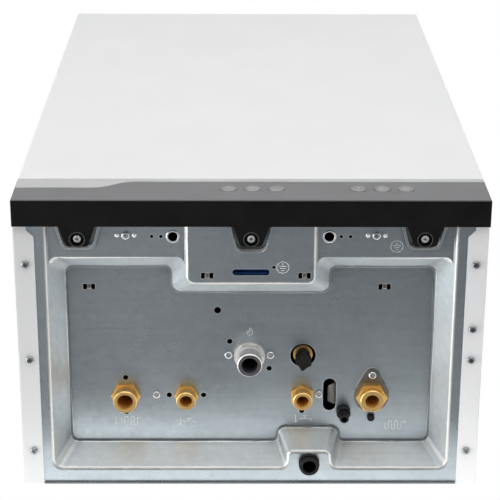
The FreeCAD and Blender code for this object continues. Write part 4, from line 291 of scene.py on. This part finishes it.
CLOTHES = {
    white_paint: ["front_cover"],
    side_paint: ["side_panel_left", "side_panel_right"],
    zinc_sheet: ["bottom_plate", "hanging_frame", "top_plate"],
    black_plastic: ["control_housing", "electronics_tray", "diverter_motor"],
    matt_black: ["filling_knob", "drain_cock", "drain_plug", "relief_outlet", "air_vent"],
    fascia_grey: ["control_fascia"],
    trim_silver: ["fascia_trim"],
    button_grey: [f"push_button_{number}" for number in range(1, 7)],
    bright_zinc: ["plate_screws"],
    side_zinc: ["side_flange_screws"],
    screw_zinc: ["tab_screws"],
    dark_zinc: ["return_clamp_plate"],
    brass: ["heating_flow_tail", "hot_water_tail", "cold_water_tail", "heating_return_tail", "filling_valve",
            "diverter_valve", "return_manifold", "safety_valve", "diverter_stem"],
    nickel: ["gas_tail"],
    copper: ["flow_pipe", "return_pipe", "gas_pipes", "heat_exchanger"],
    stainless: ["plate_heat_exchanger", "burner_bars", "burner_manifold"],
    aluminised: ["combustion_chamber", "flue_hood", "fan_housing", "fan_wheel", "flue_collar", "gas_valve"],
    cast_black: ["pump_housing", "pump_motor", "fan_motor"],
    red_enamel: ["expansion_vessel"],
    impeller_white: ["pump_impeller"],
    board_green: ["control_board", "main_board"],
    display_black: ["display_module"],
    wire_blue: ["wiring_loom"],
    ceramic: ["ignition_electrodes"],
}
for cloth, wearers in CLOTHES.items():
    for label in wearers:
        nodes[label].data.materials.clear()
        nodes[label].data.materials.append(cloth)


# Ways to make small fittings and signs, laid on the solids that carry them

def add_piece(name, points, faces, cloth, body=CASING):
    """A mesh piece, riding on a body."""
    mesh = bpy.data.meshes.new(name)
    mesh.from_pydata([Vector(point) * MM for point in points], [], faces)
    mesh.update()
    mesh.shade_smooth()
    mesh.materials.append(cloth)
    made = bpy.data.objects.new(name, mesh)
    scene.collection.objects.link(made)
    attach(made, body)
    return made


def surface_of(label):
    mesh = nodes[label].data
    points = [vertex.co / MM for vertex in mesh.vertices]
    return BVHTree.FromPolygons(points, [tuple(face.vertices) for face in mesh.polygons])


def resample(line, step):
    points = [Vector(line[0])]
    for start, end in zip(line, line[1:]):
        start, end = Vector(start), Vector(end)
        count = max(1, math.ceil((end - start).length / step))
        points += [start.lerp(end, number / count) for number in range(1, count + 1)]
    return points


def arc(u, v, radius, start, end, steps=20):
    angles = [math.radians(start + (end - start) * number / steps) for number in range(steps + 1)]
    return [(u + radius * math.cos(angle), v + radius * math.sin(angle)) for angle in angles]


# How a sign is read: from below, with the front upwards, or from the front
Reading = namedtuple("Reading", "stand right up inward")
FROM_BELOW = Reading(Vector((0, 0, -60)), Vector((1, 0, 0)), Vector((0, -1, 0)), Vector((0, 0, 1)))
FROM_FRONT = Reading(Vector((0, -340, 0)), Vector((1, 0, 0)), Vector((0, 0, 1)), Vector((0, 1, 0)))

# How deep the edges of a sign's lines lie in the surface
SIGN_SINK = 0.1


def sign(name, strokes, place, label, reading, cloth, width, body=CASING, height=0.12, step=0.7):
    """Fine raised lines that follow the surface of a solid."""
    surface = surface_of(label)
    ridge = ((-1, -SIGN_SINK), (-0.5, height), (0.5, height), (1, -SIGN_SINK))
    row = len(ridge)
    points, faces = [], []
    for stroke in strokes:
        line = resample(stroke, step)
        for index, here in enumerate(line):
            ahead = line[min(index + 1, len(line) - 1)] - line[max(index - 1, 0)]
            across = Vector((-ahead.y, ahead.x)).normalized() * width / 2
            for share, lift in ridge:
                spot = here + across * share
                level = reading.right * (place[0] + spot.x) + reading.up * (place[1] + spot.y)
                hit = surface.ray_cast(reading.stand + level, reading.inward)[0]
                points.append((level if hit is None else hit) - reading.inward * lift)
            if index:
                last, new = len(points) - 2 * row, len(points) - row
                faces += [(last + n, last + n + 1, new + n + 1, new + n) for n in range(row - 1)]
    return add_piece(name, points, faces, cloth, body)


def lathe(name, profile, place, cloth, sides=40):
    """A turned piece about an upright axis, from radius and height."""
    points, faces = [], []
    for radius, height in profile:
        for number in range(sides):
            angle = math.tau * number / sides
            points.append((place[0] + radius * math.cos(angle), place[1] + radius * math.sin(angle),
                           place[2] + height))
    for row in range(len(profile) - 1):
        for number in range(sides):
            after = (number + 1) % sides
            faces.append((row * sides + number, row * sides + after, (row + 1) * sides + after,
                          (row + 1) * sides + number))
    return add_piece(name, points, faces, cloth)


def strip(name, path, width, thick, cloth):
    """A bent strip of sheet along a path, with its width along X."""
    points, faces = [], []
    for x, y, z in path:
        points += [(x - width / 2, y, z), (x + width / 2, y, z)]
    for number in range(len(path) - 1):
        faces.append((2 * number, 2 * number + 1, 2 * number + 3, 2 * number + 2))
    made = add_piece(name, points, faces, cloth)
    sheet = made.modifiers.new("sheet", "SOLIDIFY")
    sheet.thickness = thick * MM
    sheet.offset = 0
    rounding = made.modifiers.new("rounding", "BEVEL")
    rounding.width = thick * MM / 4
    rounding.segments = 2
    return made


# Cross recesses in the screw heads, each at a place and with a turn of its own, drawn as black lines of
# painted shade

recess_shade = printed("recess_shade", (0.012, 0.012, 0.013), rough=0.6)
CROSS = [[(-1, 0), (1, 0)], [(0, -1), (0, 1)]]
CROSS_REACH = 1.5


def crosses(name, places, label, width):
    """Cross recesses in screw heads that face down, drawn as black lines of painted shade."""
    for number, (x, y, turn) in enumerate(places, 1):
        cos, sin = math.cos(math.radians(turn)), math.sin(math.radians(turn))
        strokes = [[(CROSS_REACH * (u * cos - v * sin), CROSS_REACH * (u * sin + v * cos)) for u, v in line]
                   for line in CROSS]
        sign(f"{name}_{number}", strokes, (x, -y), label, FROM_BELOW, recess_shade, width=width,
             height=0.04, step=0.4)


# Three screws along each side, and one more on the right
SIDE_SCREW_X = 199.8
SIDE_SCREW_Y = (-219.5, -126.4, -34)
FIRST_TURN, TURN_STEP = 20, 37
SIDE_SCREWS = [(side * SIDE_SCREW_X, y, FIRST_TURN + TURN_STEP * number) for side in (-1, 1)
               for number, y in enumerate(SIDE_SCREW_Y)] + [(SIDE_SCREW_X, -157, 10)]
LEDGE_SCREWS = [(-110.95, -245.4, 30), (110.95, -245.4, 12)]
TAB_SCREWS = [(-153, -245, 15), (0, -245, 40), (153, -245, 5)]
crosses("side_screw_recess", SIDE_SCREWS, "side_flange_screws", width=0.8)
crosses("ledge_screw_recess", LEDGE_SCREWS, "plate_screws", width=0.8)
crosses("tab_screw_recess", TAB_SCREWS, "tab_screws", width=0.9)


# Pressed dots, rings, rims and straps

# The locating dots are nearly white: a painted highlight on the pressed dimples.
dot_highlight = finish("dot_highlight", (0.92, 0.93, 0.94), rough=0.3, metal=0.35, vary=0.04, cloud=300,
                     grain=2500)
DOT = [(0, -1.0), (0.9, -0.9), (1.7, -0.5), (2.15, 0), (2.15, 0.4)]
DOT_AWAY = 7.6
for number, (x, y, turn) in enumerate(LEDGE_SCREWS, 1):
    for side, away in (("left", -DOT_AWAY), ("right", DOT_AWAY)):
        lathe(f"locating_dot_{side}_{number}", DOT, (x + away, y, LEDGE), dot_highlight, sides=24)

ring_grey = finish("ring_grey", (0.05, 0.05, 0.052), rough=0.4, vary=0.1, cloud=200, grain=2000)
TAB_RING = [arc(0, 0, 6.7, 0, 360, 48)]
for number, (x, y, turn) in enumerate(TAB_SCREWS, 1):
    sign(f"tab_ring_{number}", TAB_RING, (x, -y), "control_housing", FROM_BELOW, ring_grey,
         width=0.7, height=0.25)

RIM_LIP = [(6.2, 0.3), (6.0, -0.2), (5.5, -0.6), (4.9, -0.7), (4.45, -0.5), (4.3, 0), (4.3, 1)]
CABLE_HOLE_Y = -244.2
for side, x in (("left", -69.2), ("right", 69.2)):
    lathe(f"cable_hole_rim_{side}", RIM_LIP, (x, CABLE_HOLE_Y, LEDGE), bright_zinc)

CLIPS = [(-39, -208.5, RIM), (47.6, -208.5, RIM), (-146.8, -186.2, FLOOR), (121.8, -186.2, FLOOR)]
STRAP = [(-3.2, 2.4), (-2.2, 1.0), (-1.0, 0.2), (1.0, 0.0), (2.2, 0.4), (3.0, 1.6)]
STRAP_WIDTH = 4.0
STRAP_THICK = 0.7
for number, (x, y, level) in enumerate(CLIPS, 1):
    path = [(x, y + back, level + rise) for back, rise in STRAP]
    strip(f"clip_strap_{number}", path, STRAP_WIDTH, STRAP_THICK, dark_zinc)


# Signs on the bottom plate

pale_mark = printed("pale_mark", (0.86, 0.88, 0.90), rough=0.4)
EARTH = [arc(0, 0, 5.4, 0, 360, 48), [(0, 4.2), (0, 1.2)], [(-3.6, 1.2), (3.6, 1.2)],
         [(-2.6, -0.9), (2.6, -0.9)], [(-1.4, -3.0), (1.4, -3.0)]]
EARTH_SIGNS = {"middle": ((28.3, 216.3), 0.55), "right": ((129.2, 234.9), 0.45)}
for side, (place, width) in EARTH_SIGNS.items():
    sign(f"earth_sign_{side}", EARTH, place, "bottom_plate", FROM_BELOW, pale_mark, width=width)


def radiator(width, bars, half=3):
    """A zigzag pipe: upright bars, joined by turns at their upper and lower ends in turn."""
    pitch = width / (bars - 1)
    upright = [[(number * pitch, -half), (number * pitch, half)] for number in range(bars)]
    turns = []
    for number in range(bars - 1):
        upper = number % 2
        start = 0 if upper else 180
        turns.append(arc((number + 0.5) * pitch, half if upper else -half, pitch / 2, start, start + 180, 8))
    return upright + turns


def shifted(strokes, u):
    return [[(a + u, b) for a, b in line] for line in strokes]


RADIATOR = radiator(15, 6)
ARROW_DOWN = [[(0, 4), (0, -4)], [(-1.6, -2.4), (0, -4.2), (1.6, -2.4)]]
ARROW_RIGHT = [[(5.5, 3), (9.5, 3)], [(8, 4.4), (9.8, 3), (8, 1.6)]]
TAP = [[(-4, -0.4), (4, -0.4)], arc(4, -2.4, 2, 90, 0, 8), [(-0.5, -0.4), (-0.5, 2)], [(-3, 2.4), (2.2, 2.4)],
       [(-6, -0.4), (-4, -0.4)]]
FLAME = [[(0, 4), (2.4, 0.6), (2.6, -1.6), (1.4, -3.4), (-1.4, -3.4), (-2.6, -1.6), (-1.8, 0.4), (-0.8, -0.6),
          (0, 4)]]
PLATE_SIGNS = {
    "flow_sign": (shifted(ARROW_DOWN, -10.4) + shifted(RADIATOR, -5) + [[(10, 3), (13, 3)]], (-115.4, 50.2)),
    "hot_water_sign": (shifted(ARROW_DOWN, -6.6) + shifted(TAP, 1.8), (-58.9, 50.1)),
    "cold_water_sign": (shifted(ARROW_DOWN, -7) + shifted(TAP, 1.8), (49.7, 52.8)),
    "return_sign": (shifted(RADIATOR, -9.5) + ARROW_RIGHT, (136.2, 45.9)),
    "gas_sign": (FLAME, (-0.6, 141.4)),
}
for name, (strokes, place) in PLATE_SIGNS.items():
    sign(name, strokes, place, "bottom_plate", FROM_BELOW, pale_mark, width=0.55, height=0.1)


# Signs on the buttons: a tap, a radiator, a bar, a turn back and a switch

button_mark = printed("button_mark", (0.62, 0.62, 0.63), rough=0.4)
BUTTON_SIGNS = {
    1: [[(-3.2, -0.6), (2.2, -0.6)], arc(2.2, -2, 1.4, 90, 0, 6), [(-0.6, -0.6), (-0.6, 1.4)],
        [(-2.2, 1.6), (1, 1.6)]],
    2: shifted([[(number * 1.7, -2.2), (number * 1.7, 2.2)] for number in range(5)], -3.4),
    4: [[(0, -2.4), (0, 2.4)]],
    5: [arc(-0.6, 0, 2.4, 60, 330, 18), [(0.4, 3.2), (0.9, 2), (-0.4, 1.4)], [(2.6, -2.4), (3.6, 0.4)]],
    6: [arc(0, -0.2, 2.6, 125, 415, 20), [(0, 0.4), (0, 3)]],
}
for number, strokes in BUTTON_SIGNS.items():
    button = f"push_button_{number}"
    place = (middle_of(button).x, middle_of(button).z)
    sign(f"button_sign_{number}", strokes, place, button, FROM_FRONT, button_mark, width=0.6,
         body=button, height=0.05, step=0.5)


# The bracket behind the slot beside the return tail

bracket_grey = finish("bracket_grey", (0.20, 0.19, 0.18), rough=0.45, metal=0.2, vary=0.08, cloud=120,
                      grain=1500, edge_wear_and_highlight=(0.5, (0.5, 0.48, 0.46)))
BRACKET = [(72.4, -69.8), (78.0, -66.8), (79.2, -66.8), (79.2, -88.6), (78.6, -88.6), (72.4, -85.2)]
BRACKET_LEVEL = 31
BRACKET_THICK = 1.5
bracket = add_piece("slot_bracket", [(x, y, BRACKET_LEVEL) for x, y in BRACKET], [tuple(range(len(BRACKET)))],
                    bracket_grey)
bracket.modifiers.new("sheet", "SOLIDIFY").thickness = BRACKET_THICK * MM


# Second finishes on single solids. The tests look at the middle and the normal of a face

def repaint(label, cloth, chosen):
    """Gives a second finish to the faces of a solid that the test picks."""
    mesh = nodes[label].data
    mesh.materials.append(cloth)
    for face in mesh.polygons:
        if chosen(face.center / MM, face.normal):
            face.material_index = len(mesh.materials) - 1


def within(x, y, radius, above=-math.inf):
    """Faces near an upright axis and above a height, such as those of a bore."""
    return lambda middle, normal: math.hypot(middle.x - x, middle.y - y) < radius and above < middle.z


def facing(least, most, above=-math.inf, below=math.inf):
    """Faces between two heights, by the upward part of their normal. Minus one is straight down."""
    return lambda middle, normal: least < normal.z < most and above < middle.z < below


TAB_WELL_BACK = -218
TAB_WELL_HALF = 26


def near_tab(middle, normal):
    """Faces of the recesses that take the strip's tabs."""
    return middle.y < TAB_WELL_BACK and min(abs(middle.x - x) for x, y, turn in TAB_SCREWS) < TAB_WELL_HALF


def either(*tests):
    return lambda middle, normal: any(test(middle, normal) for test in tests)


def both(*tests):
    return lambda middle, normal: all(test(middle, normal) for test in tests)


# Bores and ends of the pipe tails, and the sides of the clamp plate
# Dark grey for the gas tail: the seal ring on its end face, and painted shade inside its bore.
dark_bore = finish("dark_bore", (0.07, 0.07, 0.075), rough=0.5, metal=0.2, vary=0.2, cloud=200, grain=2000)
brown_bore = finish("brown_bore", (0.62, 0.33, 0.08), rough=0.5, metal=0.2, vary=0.2, cloud=200, grain=2000)
# A darker brass on the tails' end faces, which face down: painted shade.
shaded_brass = turned("shaded_brass", (0.58, 0.38, 0.15), rough=0.42)
END_FACE = (-math.inf, -0.9)
SIDE_FACE = (-0.6, 0.6)
GAS_BORE_RADIUS = 9.2
GAS_END_BELOW = 7
TAIL_ROW_Y = -77
TAIL_END_BELOW = 17
TAIL_BORES = {
    "heating_flow_tail": {"radius": 7.6, "above": 16},
    "hot_water_tail": {"radius": 5.9, "above": 17},
    "cold_water_tail": {"radius": 5.9, "above": 17},
    "heating_return_tail": {"radius": 6.6, "above": 18},
}
gas_middle = middle_of("gas_tail")
repaint("gas_tail", dark_bore, either(within(gas_middle.x, gas_middle.y, GAS_BORE_RADIUS),
                                      facing(*END_FACE, below=GAS_END_BELOW)))
for label, bore in TAIL_BORES.items():
    repaint(label, brown_bore, within(middle_of(label).x, TAIL_ROW_Y, **bore))
    repaint(label, shaded_brass, facing(*END_FACE, below=TAIL_END_BELOW))
repaint("return_clamp_plate", screw_zinc, facing(*SIDE_FACE))

# Bottom plate: drawn walls, a painted highlight on the outer bends near the rim and round the tabs, and
# painted shade on the inner bends round the floor
drawn_zinc = galvanised("drawn_sheet", (0.57, 0.60, 0.61), rough=(0.42, 0.55))
# Painted highlight on the outer bends near the rim.
bend_highlight = finish("bend_highlight", (0.62, 0.61, 0.58), rough=0.42, metal=0.85, vary=0.06, cloud=60,
                     grain=1200)
# Painted highlight, in a near white, on the bends round the tab wells.
tab_bend_highlight = finish("tab_bend_highlight", (0.92, 0.92, 0.91), rough=0.42, vary=0.06, cloud=60, grain=1200)
# Painted shade on the inner bends round the floor.
inner_bend_shade = finish("inner_bend_shade", (0.16, 0.17, 0.18), rough=0.5, metal=0.8, vary=0.15, cloud=60, grain=1200)
BEND_START = -0.985
DRAWN_WALLS = {"least": -0.75, "most": -0.2, "above": 2, "below": 30}
OUTER_BENDS = {"least": BEND_START, "most": -0.62, "below": 4}
TAB_BENDS = {"least": BEND_START, "most": 0.2, "below": 8.6}
INNER_BENDS = {"least": BEND_START, "most": -0.70, "above": 24}
repaint("bottom_plate", drawn_zinc, facing(**DRAWN_WALLS))
repaint("bottom_plate", bend_highlight, facing(**OUTER_BENDS))
repaint("bottom_plate", tab_bend_highlight, both(facing(**TAB_BENDS), near_tab))
repaint("bottom_plate", inner_bend_shade, facing(**INNER_BENDS))

# The front one of the three wires
wire_red = finish("wire_red", (0.16, 0.012, 0.012), rough=0.42, vary=0.1, cloud=200, grain=2500)
loom_y = [vertex.co.y / MM for vertex in nodes["wiring_loom"].data.vertices]
front_wire_back = min(loom_y) + (max(loom_y) - min(loom_y)) / 3
repaint("wiring_loom", wire_red, lambda middle, normal: middle.y < front_wire_back)


# Camera at the photograph's viewing angle

CAMERA_PLACE = Vector((-12.378, -785.887, -1408.600)) * MM
CAMERA_TURN = (21.4159, -0.4313, 0.0619)
CAMERA_LENS = 123.36
CAMERA_SENSOR = 36


def place_camera():
    tilt, yaw, roll = (math.radians(angle) for angle in CAMERA_TURN)
    turn = Matrix.Rotation(roll, 3, "Z") @ Matrix.Rotation(yaw, 3, "Y") @ Matrix.Rotation(tilt, 3, "X")
    columns = Matrix((turn[0], -turn[1], -turn[2])).transposed()
    data = bpy.data.cameras.new("photo_camera")
    data.lens = CAMERA_LENS
    data.sensor_width = CAMERA_SENSOR
    camera = bpy.data.objects.new("photo_camera", data)
    camera.matrix_world = Matrix.Translation(CAMERA_PLACE) @ columns.to_4x4()
    scene.collection.objects.link(camera)
    scene.camera = camera


place_camera()


# Studio: pale floor, white backdrop and soft boxes

WHITE = (1, 1, 1, 1)
AIR = (0.96, 0.98, 1, 1)
ABOVE_AND_BEHIND = (0, 0.8, 0.6)
FLOOR_LEVEL = -2.7
FLOOR_REACH = 12
FAR_REACH = 45
LEFT_LAMP = {"place": (-1.0, -0.1, -0.3), "aim": (0, -0.12, 0), "size": (0.9, 0.6)}


def surroundings(backdrop, below, above, start, end):
    """A white backdrop, and around the object dim air that grows brighter above and behind it."""
    world = bpy.data.worlds.new("studio")
    world.use_nodes = True
    tree = world.node_tree
    seen = tree.nodes["Background"]
    seen.inputs["Color"].default_value = WHITE
    seen.inputs["Strength"].default_value = backdrop
    around = tree.nodes.new("ShaderNodeBackground")
    around.inputs["Color"].default_value = AIR
    place = tree.nodes.new("ShaderNodeTexCoord")
    lean = tree.nodes.new("ShaderNodeVectorMath")
    lean.operation = "DOT_PRODUCT"
    lean.inputs[1].default_value = ABOVE_AND_BEHIND
    tree.links.new(place.outputs["Generated"], lean.inputs[0])
    tree.links.new(spread(tree, lean.outputs["Value"], below, above, start, end), around.inputs["Strength"])
    path = tree.nodes.new("ShaderNodeLightPath")
    choice = tree.nodes.new("ShaderNodeMixShader")
    tree.links.new(path.outputs["Is Camera Ray"], choice.inputs["Fac"])
    tree.links.new(around.outputs["Background"], choice.inputs[1])
    tree.links.new(seen.outputs["Background"], choice.inputs[2])
    tree.links.new(choice.outputs["Shader"], tree.nodes["World Output"].inputs["Surface"])
    scene.world = world


def shine(cloth, near, far, start, end):
    """Lights a floor from within, from one strength to another over a range of distances."""
    tree = cloth.node_tree
    shader = tree.nodes["Principled BSDF"]
    away = tree.nodes.new("ShaderNodeVectorMath")
    away.operation = "LENGTH"
    tree.links.new(coordinates(tree, (1, 1, 0)), away.inputs[0])
    glow = spread(tree, away.outputs["Value"], near, far, start, end)
    tree.links.new(glow, shader.inputs["Emission Strength"])
    shader.inputs["Emission Color"].default_value = WHITE


def square(reach):
    return [(-reach, -reach, FLOOR_LEVEL), (reach, -reach, FLOOR_LEVEL), (reach, reach, FLOOR_LEVEL),
            (-reach, reach, FLOOR_LEVEL)]


def add_floor(name, points, faces, cloth):
    mesh = bpy.data.meshes.new(name)
    mesh.from_pydata(points, [], faces)
    mesh.materials.append(cloth)
    floor = bpy.data.objects.new(name, mesh)
    scene.collection.objects.link(floor)
    return floor


def studio_floor(near, far, start, end):
    """A pale floor, lit from within, more so away from the object."""
    cloth = finish("studio_floor", (0.40, 0.40, 0.40), rough=0.7, vary=0.02, cloud=2, grain=60)
    shine(cloth, near, far, start, end)
    add_floor("studio_floor", square(FLOOR_REACH), [(0, 1, 2, 3)], cloth)


def far_floor(near, far):
    """The floor far away, seen but giving no light, fading into the backdrop."""
    cloth = finish("far_floor", (0, 0, 0), rough=1.0, vary=0.02, cloud=2, grain=60, specular=0)
    shine(cloth, near, far, FLOOR_REACH, FAR_REACH)
    faces = [(i, i + 4, (i + 1) % 4 + 4, (i + 1) % 4) for i in range(4)]
    floor = add_floor("far_floor", square(FLOOR_REACH) + square(FAR_REACH), faces, cloth)
    floor.visible_diffuse = False
    floor.visible_glossy = False
    floor.visible_transmission = False
    floor.visible_shadow = False


def soft_box(name, place, aim, size, power):
    """A rectangular lamp that the camera doesn't see."""
    data = bpy.data.lights.new(name, "AREA")
    data.shape = "RECTANGLE"
    data.size, data.size_y = size
    data.energy = power
    made = bpy.data.objects.new(name, data)
    made.location = place
    made.rotation_euler = (Vector(aim) - Vector(place)).to_track_quat("-Z", "Y").to_euler()
    made.visible_camera = False
    scene.collection.objects.link(made)
    return made


def keep_off(light, piece):
    """Shades one piece from a light, as a flag on a stand would."""
    shaded = bpy.data.collections.new(light.name + "_shaded")
    shaded.objects.link(piece)
    light.light_linking.receiver_collection = shaded
    shaded.collection_objects[0].light_linking.link_state = "EXCLUDE"


scene.view_settings.view_transform = "Standard"
surroundings(backdrop=1.0, below=0.02, above=0.6, start=0.2, end=0.7)
studio_floor(near=0.0, far=0.55, start=1.8, end=3.4)
far_floor(near=0.68, far=1.0)
soft_box("front_box", place=(0.2, -2.4, -0.5), aim=(0, -0.2, 0.2), size=(3.2, 2.0), power=35)
soft_box("top_box", place=(0, -2.0, 0.9), aim=(0, -0.28, 0.4), size=(3.0, 2.2), power=23)
table_glow = soft_box("table_glow", place=(0, 0.04, -0.08), aim=(0, -0.3, -0.08), size=(1.0, 0.14), power=0.6)
soft_box("floor_glow", place=(-0.5, 0.75, -2.2), aim=(-0.45, 0.75, -2.7), size=(0.5, 0.5), power=2.5)
left_glow = soft_box("left_glow", **LEFT_LAMP, power=7.3)
soft_box("left_fill", **LEFT_LAMP, power=2.6)
soft_box("right_glow", place=(1.0, -0.1, -0.3), aim=(0, -0.12, 0), size=(0.9, 0.6), power=1.8)
keep_off(table_glow, nodes["hanging_frame"])
keep_off(left_glow, nodes["side_panel_left"])
